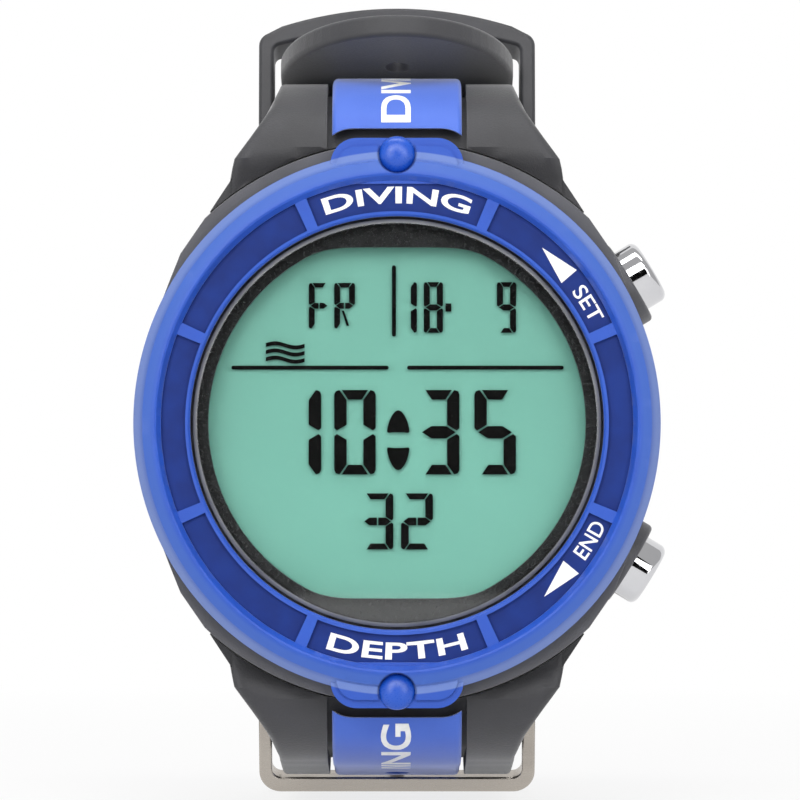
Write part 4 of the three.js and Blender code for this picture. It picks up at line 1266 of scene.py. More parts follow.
@dataclass
class Back:
    """The back cover with its screws and the battery hatch."""

    cover_front: float = 13.03
    face_y: float = 16.2
    hatch: float = 14.1
    screw_ring: float = 22.2
    screw_angles: tuple[float, ...] = (58, 122, 238, 302)
    slot_length: float = 15.0
    slot_width: float = 1.6
    slot_depth: float = 0.8

    def cover(self) -> Piece:
        """Turns the cover and bores it for the screws, the sensor's port and the hatch's tabs.

        Returns:
            The cover.
        """
        y = self.face_y
        section = [(0, 10.2), (13.8, 10.2), (13.8, 12.0), (18.35, 12.0), (18.35, self.cover_front),
                   (23.9, self.cover_front), (23.9, y - 0.8), (23.1, y), (19.1, y), (18.95, y - 0.18),
                   (18.75, y - 0.18), (18.6, y), (15.9, y), (15.78, y - 0.12), (15.62, y - 0.12), (15.5, y),
                   (14.3, y), (14.3, 14.7), (12.6, 14.7), (12.6, 11.2), (0, 11.2)]
        cover = Bench.turned("back_cover_turned", section, 180)
        tabs = Bench.turned("groove", [(14.1, 14.85), (15.5, 14.85), (15.5, 15.65), (14.1, 15.65), (14.1,
                                                                                                    14.85)],
                            96)
        Bench.carve(cover, tabs)
        for turn in (150, 270, 30):
            entry = Bench.block((13.8, 15.0, -3), (15.4, 17, 3))
            Bench.carve(cover, Bench.moved(entry, Matrix.Rotation(-turn * DEGREE, 4, "Y")))
        for turn in self.screw_angles:
            x, z = polar(self.screw_ring, turn)
            Bench.carve(cover, Bench.cutter(1.66, x, z, y - 1.23, y + 1))
            Bench.carve(cover, Bench.cutter(0.9, x, z, 12, y + 1))
        Bench.carve(cover, Bench.cutter(0.6, -16.5, 0, 12.7, y + 1))
        return Bench.rounded(cover, 0.09, 35, 2)

    def screw(self, name: str, degrees: float) -> Piece:
        """A slotted screw with a rounded head.

        Args:
            name: the new piece's name.
            degrees: its place round the cover.

        Returns:
            The screw.
        """
        top = self.face_y - 0.15
        section = [(0, 8.6), (0.5, 8.7), (0.8, 9.1), (0.8, top - 1.05), (1.5, top - 1.05), (1.5, top - 0.22),
                   (1.32, top - 0.04), (0.9, top), (0, top)]
        screw = Bench.turned(name, section, 48)
        slot = Bench.block((-2, top - 0.5, -0.25), (2, top + 1, 0.25))
        Bench.carve(screw, Bench.moved(slot, Matrix.Rotation(degrees * 2.3 * DEGREE, 4, "Y")))
        Bench.rounded(screw, 0.04, 40, 2)
        x, z = polar(self.screw_ring, degrees)
        return Bench.moved(screw, Matrix.Translation((x, 0, z)))

    def hatch_piece(self) -> Piece:
        """The bayonet hatch with its coin slot and finger grooves.

        Returns:
            The hatch.
        """
        y = self.face_y
        section = [(0, 14.75), (self.hatch, 14.75), (self.hatch, y - 0.25), (self.hatch - 0.25, y), (12.3, y),
                   (12.1, y - 0.15), (11.8, y - 0.15), (11.6, y), (0, y)]
        hatch = Bench.turned("battery_hatch_cover", section, 144)
        for turn in (90, 210, 330):
            tab = Bench.block((13, 15.0, -2.5), (15.0, 15.5, 2.5))
            Bench.carve(hatch, Bench.moved(tab, Matrix.Rotation(-turn * DEGREE, 4, "Y")), "UNION")
        half = (self.slot_length - self.slot_width) / 2
        ends = arc((half, 0), self.slot_width / 2, -90, 90, 16) + arc((-half, 0), self.slot_width / 2, 90,
                                                                      270, 16)
        Bench.carve(hatch, Bench.plate("slot", ends, y - self.slot_depth, y + 1))
        Bench.carve(hatch, Bench.cutter(0.55, 0, 10.2, y - 0.25, y + 1, 32))
        return Bench.rounded(hatch, 0.1, 35, 2)

    def marks(self) -> list[Piece]:
        """The printed words by the hatch.

        Returns:
            The words.
        """
        marks = []
        for name, word, turn in (("mark_close", "CLOSE", 90), ("mark_open", "OPEN", 30)):
            print_ = Bench.lettering(name, word, 1.1, len(word) * 0.95, 0.01)
            for vertex in print_.data.vertices:
                x, z = polar(17.25 + vertex.co.z, turn + vertex.co.x / 17.25 / DEGREE)
                vertex.co = (x, self.face_y - vertex.co.y, z)
            marks.append(print_)
        return marks

    def build(self) -> None:
        """Builds and dresses the back."""
        Bench.finish(self.cover(), CASE_BODY, (BACK_NYLON,), ("back_cover",), "black_case")
        for i, turn in enumerate(self.screw_angles, 1):
            Bench.finish(self.screw(f"back_screw_{i}_slotted", turn), CASE_BODY, (PIN_STEEL,),
                         (f"back_screw_{i}",),
                         "steel")
        Bench.finish(self.hatch_piece(), "battery_hatch", (BACK_NYLON,), ("battery_cover",), "black_case")
        for mark in self.marks():
            Bench.finish(mark, CASE_BODY, (WHITE_INK,), (), "white_plastic")


@dataclass
class PushButton:
    """One push-button: a polished cap on its stem, in a black guard bush."""

    name: str
    side: int
    travel: float = 0.9
    axis_y: float = 7.8
    axis_angle: float = 31.25
    weld: float = 1e-6

    @staticmethod
    def place(side: int) -> Matrix:
        """Turns a piece made about the Y axis to the button's axis: upper (side 1) or lower (side -1).

        Args:
            side: 1 for the upper button, -1 for the lower.

        Returns:
            The matrix.
        """
        angle = side * PushButton.axis_angle * DEGREE
        out = Vector((math.cos(angle), 0, math.sin(angle)))
        across = Vector((0, 1, 0))
        turn = Matrix((across, out, across.cross(out))).transposed().to_4x4()
        return Matrix.Translation((0, PushButton.axis_y, 0)) @ turn

    def cap(self) -> Piece:
        """The cap, with a dished face and a rounded rim, and its stem with the clip's groove.

        Returns:
            The cap.
        """
        section = [(0, 17.55), (1.05, 17.55), (1.15, 17.65), (1.15, 17.75), (0.85, 17.75), (0.85, 18.25),
                   (1.15, 18.25), (1.15, 27.3), (2.65, 27.3), (2.65, 25.3), (3.05, 25.3), (3.15, 25.42),
                   (3.15, 27.86), (3.06, 28.12), (2.86, 28.34), (2.6, 28.47), (2.3, 28.5), (2.1, 28.44),
                   (0, 28.36)]
        cap = Bench.turned(f"button_{self.name}_polished_cap", section, 96)
        return Bench.moved(cap, self.place(self.side))

    def guard(self) -> Piece:
        """The bush whose flange guards the cap.

        Returns:
            The bush.
        """
        section = [(1.35, 21.7), (3.55, 21.7), (3.55, 25.0), (4.1, 25.0), (4.2, 25.1), (4.2, 25.85),
                   (4.12, 26.05),
                   (3.95, 26.18), (3.75, 26.2), (3.45, 26.2), (3.4, 26.15), (3.4, 24.2), (1.35, 24.2),
                   (1.35, 23.2), (1.95, 23.2), (1.95, 22.4), (1.35, 22.4), (1.35, 21.7)]
        guard = Bench.turned(f"button_{self.name}_bush", section, 96)
        return Bench.moved(guard, self.place(self.side))

    def spring(self) -> None:
        """The return spring: the CAD coil, copied with its vertices welded and put on the case's body."""
        name = f"button_{self.name}_spring"
        spring = Bench.copied(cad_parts[name], f"{name}_coil")
        Bench.moved(spring, Matrix.Identity(4))
        Bench.edit(spring)
        bpy.ops.mesh.remove_doubles(threshold=self.weld)
        bpy.ops.object.mode_set(mode="OBJECT")
        spring.data.materials.clear()
        spring.data.materials.append(SPRING_STEEL.material())
        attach(spring, CASE_BODY)
        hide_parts(name)
        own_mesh(spring)

    def build(self) -> None:
        """Builds and dresses the button."""
        self.spring()
        Bench.finish(self.cap(), f"{self.name}_button", (BUTTON_CHROME,), (f"button_{self.name}_cap",),
                     "chrome")
        Bench.finish(self.guard(), CASE_BODY, (CASE_NYLON,), (f"button_{self.name}_guard",), "black_case")


# ----------------------------------------------------------------------------------- strap, keeper, buckle

@dataclass(frozen=True)
class Course:
    """A strap half's middle line in the Y-Z plane. Side is 1 for the upper half and -1 for the lower."""

    points: tuple[Point2, ...]
    side: int
    end_half_thickness: float
    root_half_thickness: float = 2.6
    root_end: float = 6.0
    taper_end: float = 18.0
    steps: int = 40

    def line(self) -> list[tuple[float, Vector]]:
        """Points along a centripetal Catmull-Rom curve, each with its distance from the case end.

        Returns:
            Pairs of distance and point.
        """
        knots = [Vector(p) for p in self.points]
        knots = [2 * knots[0] - knots[1], *knots, 2 * knots[-1] - knots[-2]]
        placed = [knots[1].copy()]
        for p0, p1, p2, p3 in zip(knots, knots[1:], knots[2:], knots[3:]):
            t1 = (p1 - p0).length ** 0.5
            t2 = t1 + (p2 - p1).length ** 0.5
            t3 = t2 + (p3 - p2).length ** 0.5
            for i in range(1, self.steps + 1):
                t = t1 + (t2 - t1) * i / self.steps
                a1 = p0 * ((t1 - t) / t1) + p1 * (t / t1)
                a2 = p1 * ((t2 - t) / (t2 - t1)) + p2 * ((t - t1) / (t2 - t1))
                a3 = p2 * ((t3 - t) / (t3 - t2)) + p3 * ((t - t2) / (t3 - t2))
                b1 = a1 * ((t2 - t) / t2) + a2 * (t / t2)
                b2 = a2 * ((t3 - t) / (t3 - t1)) + a3 * ((t - t1) / (t3 - t1))
                placed.append(b1 * ((t2 - t) / (t2 - t1)) + b2 * ((t - t1) / (t2 - t1)))
        walked, far = [(0.0, placed[0])], 0.0
        for before, point in zip(placed, placed[1:]):
            far += (point - before).length
            walked.append((far, point))
        return walked

    def half_thickness(self, distance: float) -> float:
        """Half the strap's thickness: thick at the case, thin from there on."""
        share = blend_between(distance, self.root_end, self.taper_end)
        return self.root_half_thickness + (self.end_half_thickness - self.root_half_thickness) * share


class Wrapper:
    """Wraps a piece drawn flat in the face's plane onto a strap half's course."""

    def __init__(self, course: Course) -> None:
        """Walks the course once.

        Args:
            course: the middle line to wrap onto.
        """
        self.course = course
        self.line = course.line()
        self.length = self.line[-1][0]

    def at(self, distance: float, offset: float) -> tuple[float, float]:
        """Point at a distance along the course, moved outwards by an offset, as (y, z).

        Args:
            distance: distance along the course.
            offset: distance outwards from the middle line.

        Returns:
            The point.
        """
        distance = min(max(distance, 0.0), self.length)
        i = min(range(len(self.line)), key=lambda k: abs(self.line[k][0] - distance))
        i = min(max(i, 1), len(self.line) - 2)
        (s0, p0), (s1, p1), (s2, p2) = self.line[i - 1], self.line[i], self.line[i + 1]
        low, high = (p0, p1) if distance < s1 else (p1, p2)
        start, end = (s0, s1) if distance < s1 else (s1, s2)
        point = low + (high - low) * ((distance - start) / (end - start))
        way = (p2 - p0).normalized()
        side = self.course.side
        return point.x - side * way.y * offset, point.y + side * way.x * offset

    def wrap(self, piece: Piece, widen: bool = False, swell: float = 0.0) -> Piece:
        """Moves every vertex of a flat piece onto the course.

        Args:
            piece: drawn with its distance from the case along Z, and its outer face towards -Y.
            widen: True where the piece has the strap's winged end.
            swell: how much thicker the outer face is where the strap enters the buckle.

        Returns:
            The same piece.
        """
        thin = self.course.end_half_thickness
        for vertex in piece.data.vertices:
            distance = abs(vertex.co.z)
            offset = -vertex.co.y
            if offset > 0.3:
                offset += swell * blend_between(distance, 14, 28) * (1 - blend_between(distance, 34, 48))
            extra = self.course.half_thickness(distance) - thin
            y, z = self.at(distance, offset + extra * min(1.0, max(-1.0, (offset + 0.35) / 0.2)))
            if widen:
                vertex.co.x = self.winged(vertex.co.x, y, abs(z))
            vertex.co.y, vertex.co.z = y, z
        return piece

    @staticmethod
    def winged(x: float, y: float, z: float) -> float:
        """Spreads the strap's edge out to its wings by the case.

        Args:
            x: place across.
            y: place in depth.
            z: distance from the case's middle towards the half.

        Returns:
            The new place across.
        """
        wing = ((19.3, 18.5), (21.6, 17.0), (23.4, 15.8), (25.0, 15.7), (27.9, 13.6), (30.2, 12.1),
                (32.2, 11.4))
        fixed = 7.3
        if y > 22 or z > wing[-1][0] or abs(x) < fixed:
            return x
        half = wing[0][1]
        for (z0, x0), (z1, x1) in zip(wing, wing[1:]):
            if z0 <= z <= z1:
                half = x0 + (x1 - x0) * (z - z0) / (z1 - z0)
        return math.copysign(fixed + (abs(x) - fixed) * (half - fixed) / (11.4 - fixed), x)


SHORT_COURSE = Course(((6.9, 19), (6.9, 23.5), (8, 27.6), (11.2, 30.4), (15, 31.4), (19.5, 31.6), (25, 30.9),
                       (32, 28.9), (39.5, 24.3), (46, 17), (50, 8), (51.5, -2), (50.6, -12), (47.8, -20.5),
                       (43.6, -27)), 1, 1.4)
LONG_COURSE = Course(((6.9, -19), (6.9, -23.5), (8, -27.6), (11.2, -30.6), (15.5, -31.8), (21, -32.2),
                      (28, -32.9), (36, -33.6), (43.6, -32.4), (49.2, -27.6), (52.7, -20.5), (54.3, -11.5),
                      (54.6, -2), (53.1, 8.8), (48.8, 18.8), (41.5, 27), (33.5, 31.9), (28, 33.5),
                      (23.5, 34.35),
                      (19, 35.4), (14, 36.8), (8.6, 38.3)), -1, 1.1)


@dataclass
class StrapHalf:
    """One half of the strap with its raised inlay and printed word."""

    name: str
    course: Course
    inlay_short: float
    half_width: float = 11.4
    inlay_half: float = 6.2
    channel_gap: float = 0.5
    proud: float = 0.55
    depth: float = 0.9
    under: float = 0.3
    seam: float = 27.0
    gap_to_tab: float = 1.15
    step: float = 0.9
    swell: float = 0.0
    word_from: float = 28.7
    word_length: float = 13.5

    def __post_init__(self) -> None:
        """Walks the half's course."""
        self.wrapper = Wrapper(self.course)
        self.length = self.wrapper.length

    def flat(self, name: str, outline: Sequence[Point2], inner: float, outer: float) -> Piece:
        """A flat band drawn with its distance along Z, between two offsets from the middle line."""
        turned = [(x, self.course.side * z) for x, z in outline]
        return Bench.plate(name, turned, -outer, -inner)

    def band_outline(self) -> list[Point2]:
        """The band's outline."""
        return [(-self.half_width, 0), (self.half_width, 0), (self.half_width, self.length),
                (-self.half_width, self.length)]

    def inlay_outline(self, half: float, short: float, corner: float) -> list[Point2]:
        """The inlay's outline, or its channel's, with rounded far corners.

        Args:
            half: half the width.
            short: how far it stops short of the half's end.
            corner: radius of the corners.

        Returns:
            The outline.
        """
        end = self.length - short
        return ([(-half, 3.0), (half, 3.0)] + arc((half - corner, end - corner), corner, 0, 90, 8)
                + arc((-half + corner, end - corner), corner, 90, 180, 8))

    def holes(self) -> list[float]:
        """Distances of the adjusting holes along the half. The upper half has none."""
        return []

    def punched(self, piece: Piece) -> Piece:
        """Punches the adjusting holes through a flat piece.

        Args:
            piece: the flat piece.

        Returns:
            The same piece.
        """
        for distance in self.holes():
            hole = Bench.cutter(1.0, 0, 0, -6, 6, 32)
            Bench.moved(hole, Matrix.Diagonal((1.2, 1, 1.5, 1)))
            Bench.carve(piece, Bench.moved(hole, Matrix.Translation((0, 0, self.course.side * distance))))
        return piece

    def sliced(self, piece: Piece) -> Piece:
        """Cuts the edge loops that let a flat piece follow the course.

        Args:
            piece: the flat piece.

        Returns:
            The sliced piece.
        """
        count = int(self.length / self.step)
        return Bench.sliced(piece, 2,
                            [self.course.side * self.length * (i + 0.5) / count for i in range(count)])

    def band(self) -> Piece:
        """The rubber band: channel, holes, rounded edges, then wrapped and fitted round the case.

        Returns:
            The band.
        """
        thin = self.course.end_half_thickness
        band = self.flat(f"strap_{self.name}_rubber", self.band_outline(), -thin, thin)
        Bench.rounded(band, 0.5, 50, 4)
        floor = thin - self.depth - self.under
        channel = self.flat("channel", self.inlay_outline(self.inlay_half + self.channel_gap,
                                                          self.inlay_short - self.channel_gap, 2.6), floor, 5)
        Bench.carve(band, channel)
        self.punched(band)
        Bench.sliced(band, 0, (-10.6, -9.8, -9, -8.2, -7.35, 7.35, 8.2, 9, 9.8, 10.6))
        self.wrapper.wrap(self.sliced(band), True, self.swell)
        self.creased(band)
        Bench.carve(band, Bench.cutter(self.seam, 0, 0, -3, 22, 240))
        for side in (1, -1):
            low_z, high_z = sorted((self.course.side * 15, self.course.side * 23.35))
            low_x, high_x = sorted((side * 15.75, side * 25))
            Bench.carve(band, Bench.block((low_x, 0, low_z), (high_x, 6.1, high_z)))
        return Bench.rounded(band, 0.12, 42, 2)

    def creased(self, band: Piece) -> None:
        """Lets the wing's face fall away from a soft crease towards the case.

        Args:
            band: the band, in its place.
        """
        side = self.course.side
        for vertex in band.data.vertices:
            x, y, z = abs(vertex.co.x), vertex.co.y, side * vertex.co.z
            if y > 6.5 or x < 7.0 or z > 30:
                continue
            crease = 27.3 + 1.9 * blend_between(x, 7.0, 15.6)
            below = crease - math.hypot(x, z)
            if below > 0:
                vertex.co.y += min(1.1, 0.62 * below)

    def inlay(self) -> Piece:
        """The raised inlay, hollowed to clear the bezel's tab.

        Returns:
            The inlay.
        """
        thin = self.course.end_half_thickness
        inlay = self.flat(f"strap_{self.name}_blue_inlay",
                          self.inlay_outline(self.inlay_half, self.inlay_short, 2.4), thin - self.depth,
                          thin + self.proud)
        Bench.rounded(inlay, 0.5, 60, 4)
        self.punched(inlay)
        self.wrapper.wrap(self.sliced(inlay))
        side = self.course.side
        reach, half, corner = 27.0 + self.gap_to_tab, 6.3 + self.gap_to_tab, 3.25
        outline = [(half, 15)] + arc((half - corner, reach - corner), corner, 0, 90, 12)
        outline += arc((-half + corner, reach - corner), corner, 90, 180, 12) + [(-half, 15)]
        Bench.carve(inlay, Bench.plate("tab", [(x, side * z) for x, z in outline], -1, 9.6))
        return Bench.rounded(inlay, 0.22, 60, 3)

    def word(self) -> Piece:
        """The printed word that runs along the inlay.

        Returns:
            The word.
        """
        word = Bench.lettering(f"strap_{self.name}_print", "DIVING", 2.9, self.word_length, 0.02)
        Bench.moved(word, Matrix.Rotation(-math.pi / 2, 4, "Y"))
        side = self.course.side
        start = next(step / 20 for step in range(100, 600)
                     if side * self.wrapper.at(step / 20,
                                               self.course.half_thickness(step / 20) + self.proud)[1]
                     >= self.word_from)
        middle = side * (start + self.word_length / 2)
        Bench.moved(word, Matrix.Translation((-0.1, -self.course.end_half_thickness - self.proud - 0.006,
                                              middle)))
        Bench.sliced(word, 2, [middle + (i - 20) * 0.35 for i in range(41)])
        return self.wrapper.wrap(word)

    def build(self) -> None:
        """Builds and dresses the half."""
        Bench.finish(self.band(), CASE_BODY, (STRAP_RUBBER,), (f"strap_{self.name}",), "black_rubber", 24)
        Bench.finish(self.inlay(), CASE_BODY, (INLAY_BLUE,), (f"strap_{self.name}_inlay",), "blue_rubber", 40)
        Bench.finish(self.word(), CASE_BODY, (WHITE_INK,), (), "white_plastic")


@dataclass
class UpperStrap(StrapHalf):
    """The short half, whose far end is the tube round the buckle's spring bar."""

    def band(self) -> Piece:
        """Adds the tube and the prong's slot to the band.

        Returns:
            The band.
        """
        band = super().band()
        tube = Bench.rod("tube", Buckle.tube, -self.half_width, self.half_width, Buckle.y, Buckle.z, 64)
        Bench.carve(band, tube, "UNION")
        Bench.carve(band, Bench.rod("bore", Buckle.bar + 0.1, -20, 20, Buckle.y, Buckle.z, 32))
        return Bench.carve(band, Bench.block((-1.3, Buckle.y - 3, Buckle.z - 3), (1.3, Buckle.y + 3,
                                                                                  Buckle.z + 2.6)))


@dataclass
class LowerStrap(StrapHalf):
    """The long half, with its adjusting holes and rounded tip."""

    tip: float = 14.0
    hole_count: int = 15
    used: int = 3
    last_from_tip: float = 9.5
    crossing: Point2 = (45.29, -31.93)

    def band_outline(self) -> list[Point2]:
        """The band's outline, with the half ellipse of its tip.

        Returns:
            The outline.
        """
        root = self.length - self.tip
        tip = [(self.half_width * math.cos(i * math.pi / 32), root + self.tip * math.sin(i * math.pi / 32))
               for i in range(33)]
        return [(-self.half_width, 0), (self.half_width, 0), *tip]

    def inlay_outline(self, half: float, short: float, corner: float) -> list[Point2]:
        """The inlay's outline, with a rounded far end inside the tip."""
        return super().inlay_outline(half, short, half * 0.9)

    def holes(self) -> list[float]:
        """Even steps, with the prong's crossing at the third hole.

        Returns:
            The distances.
        """
        y, z = self.crossing
        used = min(self.wrapper.line, key=lambda step: (step[1] - Vector((y, z))).length)[0]
        pitch = (self.length - self.last_from_tip - used) / (self.hole_count - self.used)
        return [used + (i + 1 - self.used) * pitch for i in range(self.hole_count)]


@dataclass
class Keeper:
    """The rubber loop that holds the strap's free end."""

    y: float = 26.0
    z: float = 30.75
    tilt: float = -10.5
    half_length: float = 3.2

    @staticmethod
    def arch(half: float, bottom: float, shoulder: float, crown: float, corner: float) -> list[Point2]:
        """Closed arch: straight sides, rounded corners and a top that rises to its middle.

        Args:
            half: half the width.
            bottom: height of the foot.
            shoulder: height where the sides end.
            crown: height of the top's middle.
            corner: radius of the corners.

        Returns:
            The outline.
        """
        lower = arc((half - corner, bottom + corner), corner, -90, 0, 6)
        slope = math.degrees(math.atan2(2 * (crown - shoulder), half))
        upper = arc((half - corner, shoulder - corner * 0.9), corner, 0, 90 - slope, 6)
        rise = [(half * (1 - 2 * i / 24), shoulder + (crown - shoulder) * (1 - (1 - 2 * i / 24) ** 2))
                for i in range(2, 13)]
        right = lower + upper + rise
        return right + [(-x, z) for x, z in reversed(right[:-1])]

    def build(self) -> None:
        """Builds and dresses the keeper."""
        loop = Bench.plate("strap_keeper_loop", self.arch(13.6, -3.6, 7.2, 9.8, 1.3), -self.half_length,
                           self.half_length)
        Bench.carve(loop, Bench.plate("hole", self.arch(12.1, -2.5, 6.0, 7.4, 0.7), -9, 9))
        Bench.rounded(loop, 0.42, 40, 4)
        Bench.moved(loop, Matrix.Translation((0, self.y, self.z)) @ Matrix.Rotation(self.tilt * DEGREE, 4,
                                                                                    "X"))
        Bench.finish(loop, "keeper", (KEEPER_RUBBER,), ("strap_keeper",), "black_rubber")


@dataclass
class Buckle:
    """The pin buckle: frame, spring bar and prong.

    In its own axes the spring bar is X and -Z points to the frame's closed bar.
    """

    y: float = 42.5
    z: float = -28.5
    tilt: float = 20.8
    bar: float = 0.75
    tube: float = 2.5

    def place(self) -> Matrix:
        """From the buckle's own axes to the frame's."""
        return Matrix.Translation((0, self.y, self.z)) @ Matrix.Rotation(self.tilt * DEGREE, 4, "X")

    def frame(self) -> Piece:
        """The U-shaped frame with softened edges.

        Returns:
            The frame.
        """
        outline = [(14, 1.9), *reversed(arc((14 - 2.2, -9.3 + 2.2), 2.2, -90, 0, 12)),
                   *reversed(arc((-14 + 2.2, -9.3 + 2.2), 2.2, 180, 270, 12)), (-14, 1.9), (-12.7, 1.9),
                   *arc((-11.7, -6.7), 1.0, 180, 270, 8), *arc((11.7, -6.7), 1.0, 270, 360, 8), (12.7, 1.9)]
        frame_piece = Bench.plate("buckle_frame_brushed", outline, -1.1, 1.1)
        Bench.carve(frame_piece, Bench.rod("bore", 0.95, -20, 20, 0, 0, 32))
        Bench.rounded(frame_piece, 0.32, 50, 4)
        return Bench.moved(frame_piece, self.place())

    def prong(self) -> Piece:
        """The prong: an eye rolled round the bar, and an arm that tapers to its tip.

        Returns:
            The prong.
        """
        eye = Bench.rod("buckle_prong_arm", 1.75, -0.8, 0.8, 0, 0, 48)
        arm = Bench.block((-0.8, 0.6, -9.8), (0.8, 1.5, 0))
        Bench.edit(arm)
        Bench.pick(arm, Part.VERTICES, lambda vertex: vertex.co.z < -9)
        bpy.ops.transform.translate(value=(0, 0.8, 0))
        bpy.ops.transform.resize(value=(0.8, 0.85, 1), center_override=(0, 1.85, -9.8))
        bpy.ops.object.mode_set(mode="OBJECT")
        Bench.carve(eye, arm, "UNION")
        Bench.carve(eye, Bench.rod("bore", 0.95, -5, 5, 0, 0, 32))
        Bench.rounded(eye, 0.14, 50, 3)
        return Bench.moved(eye, self.place())

    def spring_bar(self) -> Piece:
        """The spring bar with its shouldered tips.

        Returns:
            The bar.
        """
        section = [(0, -13.9), (0.45, -13.9), (0.5, -13.8), (0.5, -12.6), (self.bar, -12.55),
                   (self.bar, 12.55),
                   (0.5, 12.6), (0.5, 13.8), (0.45, 13.9), (0, 13.9)]
        bar = Bench.turned("buckle_spring_bar_turned", section, 32)
        return Bench.moved(bar, self.place() @ Matrix.Rotation(-math.pi / 2, 4, "Z"))

    def build(self) -> None:
        """Builds and dresses the buckle."""
        Bench.finish(self.frame(), "buckle", (BUCKLE_STEEL,), ("buckle_frame",), "steel")
        Bench.finish(self.prong(), "prong", (BUCKLE_STEEL,), ("buckle_prong",), "steel")
        Bench.finish(self.spring_bar(), CASE_BODY, (PIN_STEEL,), ("buckle_spring_bar",), "steel")


# -------------------------------------------------------------------------------------- inside, and studio

@dataclass
class Inside:
    """The CAD nodes that keep their shape: all sealed inside, and dressed for what they are."""

    def build(self) -> None:
        """Dresses every CAD node that is still shown."""
        finishes = {
            "lens_gasket": SEAL_NITRILE, "backlight_plate": INNER_ABS, "module_frame": INNER_ABS,
            "connector_strip_upper": SEAL_NITRILE, "connector_strip_lower": SEAL_NITRILE,
            "circuit_board": SOLDER_MASK, "processor_chip": CHIP_EPOXY, "sounder_disc": SHEET_BRASS,
            "back_gasket": SEAL_NITRILE, "battery_cover_o_ring": SEAL_NITRILE, "battery_cell": CELL_NICKEL,
            "battery_contact_negative": SHEET_BRASS, "battery_contact_positive": SHEET_BRASS,
            "pressure_sensor": PIN_STEEL, "sensor_o_ring": SEAL_NITRILE, "strap_pin_upper": PIN_STEEL,
            "strap_pin_lower": PIN_STEEL}
        for name in ("upper", "lower"):
            finishes[f"button_{name}_clip"] = SPRING_STEEL
            finishes[f"button_{name}_o_ring"] = SEAL_NITRILE
            finishes[f"button_{name}_switch"] = INNER_ABS
        for name, finish in finishes.items():
            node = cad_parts[name]
            node.data.materials.clear()
            node.data.materials.append(finish.material())
            log.info("%s: CAD node, %s", name, finish.name)


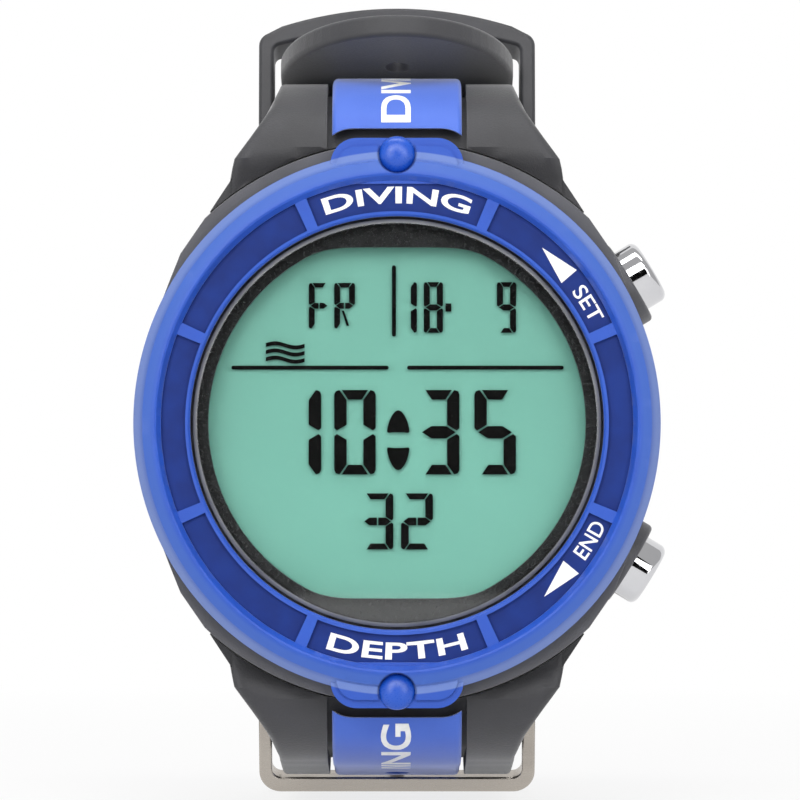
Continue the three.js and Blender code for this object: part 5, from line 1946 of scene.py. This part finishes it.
@dataclass
class Studio:
    """Pale floor and backdrop, soft lamps, a black card behind the camera, and the camera."""

    distance: float = 0.6
    lens_mm: float = 285.0
    shift_x: float = 0.00375
    shift_y: float = 0.0288
    background: str = "ffffff"

    def seen_white(self, name: str, share: float) -> bpy.types.Material:
        """A pale surface that camera and mirrors see as white to a share.

        The share is as given near the object and rises to full white far off.

        Args:
            name: the material's name.
            share: how white it is by the object. The rest is plain and keeps shadows.

        Returns:
            The material.
        """
        made = bpy.data.materials.new(name)
        made.use_nodes = True
        tree = made.node_tree
        tree.nodes.clear()
        rays = add_node(tree, "ShaderNodeLightPath")
        seen = add_node(tree, "ShaderNodeMath", links={0: rays.outputs["Is Camera Ray"],
                                                       1: rays.outputs["Is Glossy Ray"]}, operation="MAXIMUM")
        seen = add_node(tree, "ShaderNodeMath", links={0: seen.outputs[0],
                                                       1: rays.outputs["Is Transmission Ray"]},
                        operation="MAXIMUM")
        place = add_node(tree, "ShaderNodeTexCoord")
        far = add_node(tree, "ShaderNodeVectorMath", links={0: place.outputs["Object"]}, operation="LENGTH")
        fade = add_node(tree, "ShaderNodeMapRange", {"From Min": 0.08, "From Max": 0.3, "To Min": share,
                                                     "To Max": 1.0},
                        {"Value": far.outputs["Value"]})
        part = add_node(tree, "ShaderNodeMath", links={0: seen.outputs[0], 1: fade.outputs[0]},
                        operation="MULTIPLY")
        white = add_node(tree, "ShaderNodeEmission", {"Color": linear(self.background), "Strength": 1.0})
        plain = add_node(tree, "ShaderNodeBsdfDiffuse", {"Color": linear("efefef")})
        mix = add_node(tree, "ShaderNodeMixShader", links={0: part.outputs[0], 1: plain.outputs[0],
                                                           2: white.outputs[0]})
        add_node(tree, "ShaderNodeOutputMaterial", links={"Surface": mix.outputs[0]})
        return made

    def black_card(self) -> bpy.types.Material:
        """A card that mirrors see as black, and that the backdrop's white hides from the camera.

        Returns:
            The material.
        """
        made = bpy.data.materials.new("black_card")
        made.use_nodes = True
        tree = made.node_tree
        tree.nodes.clear()
        rays = add_node(tree, "ShaderNodeLightPath")
        white = add_node(tree, "ShaderNodeEmission", {"Color": linear(self.background), "Strength": 1.0})
        black = add_node(tree, "ShaderNodeBsdfDiffuse", {"Color": linear("101010")})
        mix = add_node(tree, "ShaderNodeMixShader",
                       links={0: rays.outputs["Is Camera Ray"], 1: black.outputs[0], 2: white.outputs[0]})
        add_node(tree, "ShaderNodeOutputMaterial", links={"Surface": mix.outputs[0]})
        return made

    def sheet(self, name: str, size: float, place: Sequence[float], turn: Sequence[float],
              material: bpy.types.Material) -> None:
        """Adds a plain sheet that belongs to the studio.

        Args:
            name: its name.
            size: length of its sides.
            place: its middle.
            turn: its turn about X, Y and Z.
            material: its material.
        """
        Bench.clear()
        bpy.ops.mesh.primitive_plane_add(size=size, location=tuple(place), rotation=tuple(turn))
        sheet = Bench.started(name)
        sheet.data.materials.append(material)
        sheet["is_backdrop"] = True

    def lamp(self, name: str, power: float, size: Point2, place: Sequence[float]) -> None:
        """Adds a soft rectangular lamp that points at the face.

        Args:
            name: its name.
            power: watts.
            size: its width and height in metres.
            place: where it stands.
        """
        Bench.clear()
        bpy.ops.object.light_add(type="AREA", location=tuple(place))
        lamp = bpy.context.object
        lamp.name = name
        lamp.data.shape = "RECTANGLE"
        lamp.data.energy = power
        lamp.data.size, lamp.data.size_y = size
        lamp.rotation_euler = (Vector((0, 0.01, 0)) - Vector(place)).to_track_quat("-Z", "Y").to_euler()

    def build(self) -> None:
        """Sets up floor, backdrop, lamps, world and camera."""
        floor_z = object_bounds()[0].z
        self.sheet("floor", 6.0, (0, 0, floor_z), (0, 0, 0), self.seen_white("studio_floor", 0.8))
        self.sheet("backdrop", 6.0, (0, 1.6, 0), (math.pi / 2, 0, 0), self.seen_white("studio_backdrop", 1.0))
        self.sheet("camera_card", 0.8, (0, -0.75, 0.12), (math.pi / 2, 0, 0), self.black_card())
        self.lamp("key_above", 1.75, (0.5, 0.24), (-0.05, -0.55, 0.29))
        self.lamp("top_strip", 1.5, (0.5, 0.16), (-0.02, -0.14, 0.5))
        self.lamp("fill_left", 1.15, (0.22, 0.4), (-0.26, -0.56, 0.06))
        self.lamp("fill_right", 1.15, (0.22, 0.4), (0.26, -0.56, 0.06))
        world = bpy.data.worlds.new("studio")
        world.use_nodes = True
        tree = world.node_tree
        rays = add_node(tree, "ShaderNodeLightPath")
        strength = add_node(tree, "ShaderNodeMapRange", {"To Min": 0.55, "To Max": 1.0},
                            {"Value": rays.outputs["Is Camera Ray"]})
        background = tree.nodes["Background"]
        background.inputs["Color"].default_value = linear("ffffff")
        tree.links.new(strength.outputs[0], background.inputs["Strength"])
        bpy.context.scene.world = world
        bpy.context.scene.view_settings.view_transform = "Standard"
        Bench.clear()
        bpy.ops.object.camera_add(location=(0, -self.distance, 0), rotation=(math.pi / 2, 0, 0))
        camera = bpy.context.object
        camera.data.lens = self.lens_mm
        camera.data.shift_x = self.shift_x
        camera.data.shift_y = self.shift_y
        bpy.context.scene.camera = camera


def main() -> None:
    """Builds the dive computer's pieces in order, and the studio round it."""
    logging.basicConfig(level=logging.INFO, format="%(message)s")
    assemblies = (
        Bezel(), Lens(), Display(), Case(), Back(), PushButton("upper", 1), PushButton("lower", -1),
        UpperStrap("upper", SHORT_COURSE, 12.5), LowerStrap("lower", LONG_COURSE, 7.5, swell=0.5), Keeper(),
        Buckle(),
        Inside(), Studio())
    for assembly in assemblies:
        log.info("building %s", type(assembly).__name__)
        assembly.build()


if __name__ == "__main__":
    main()
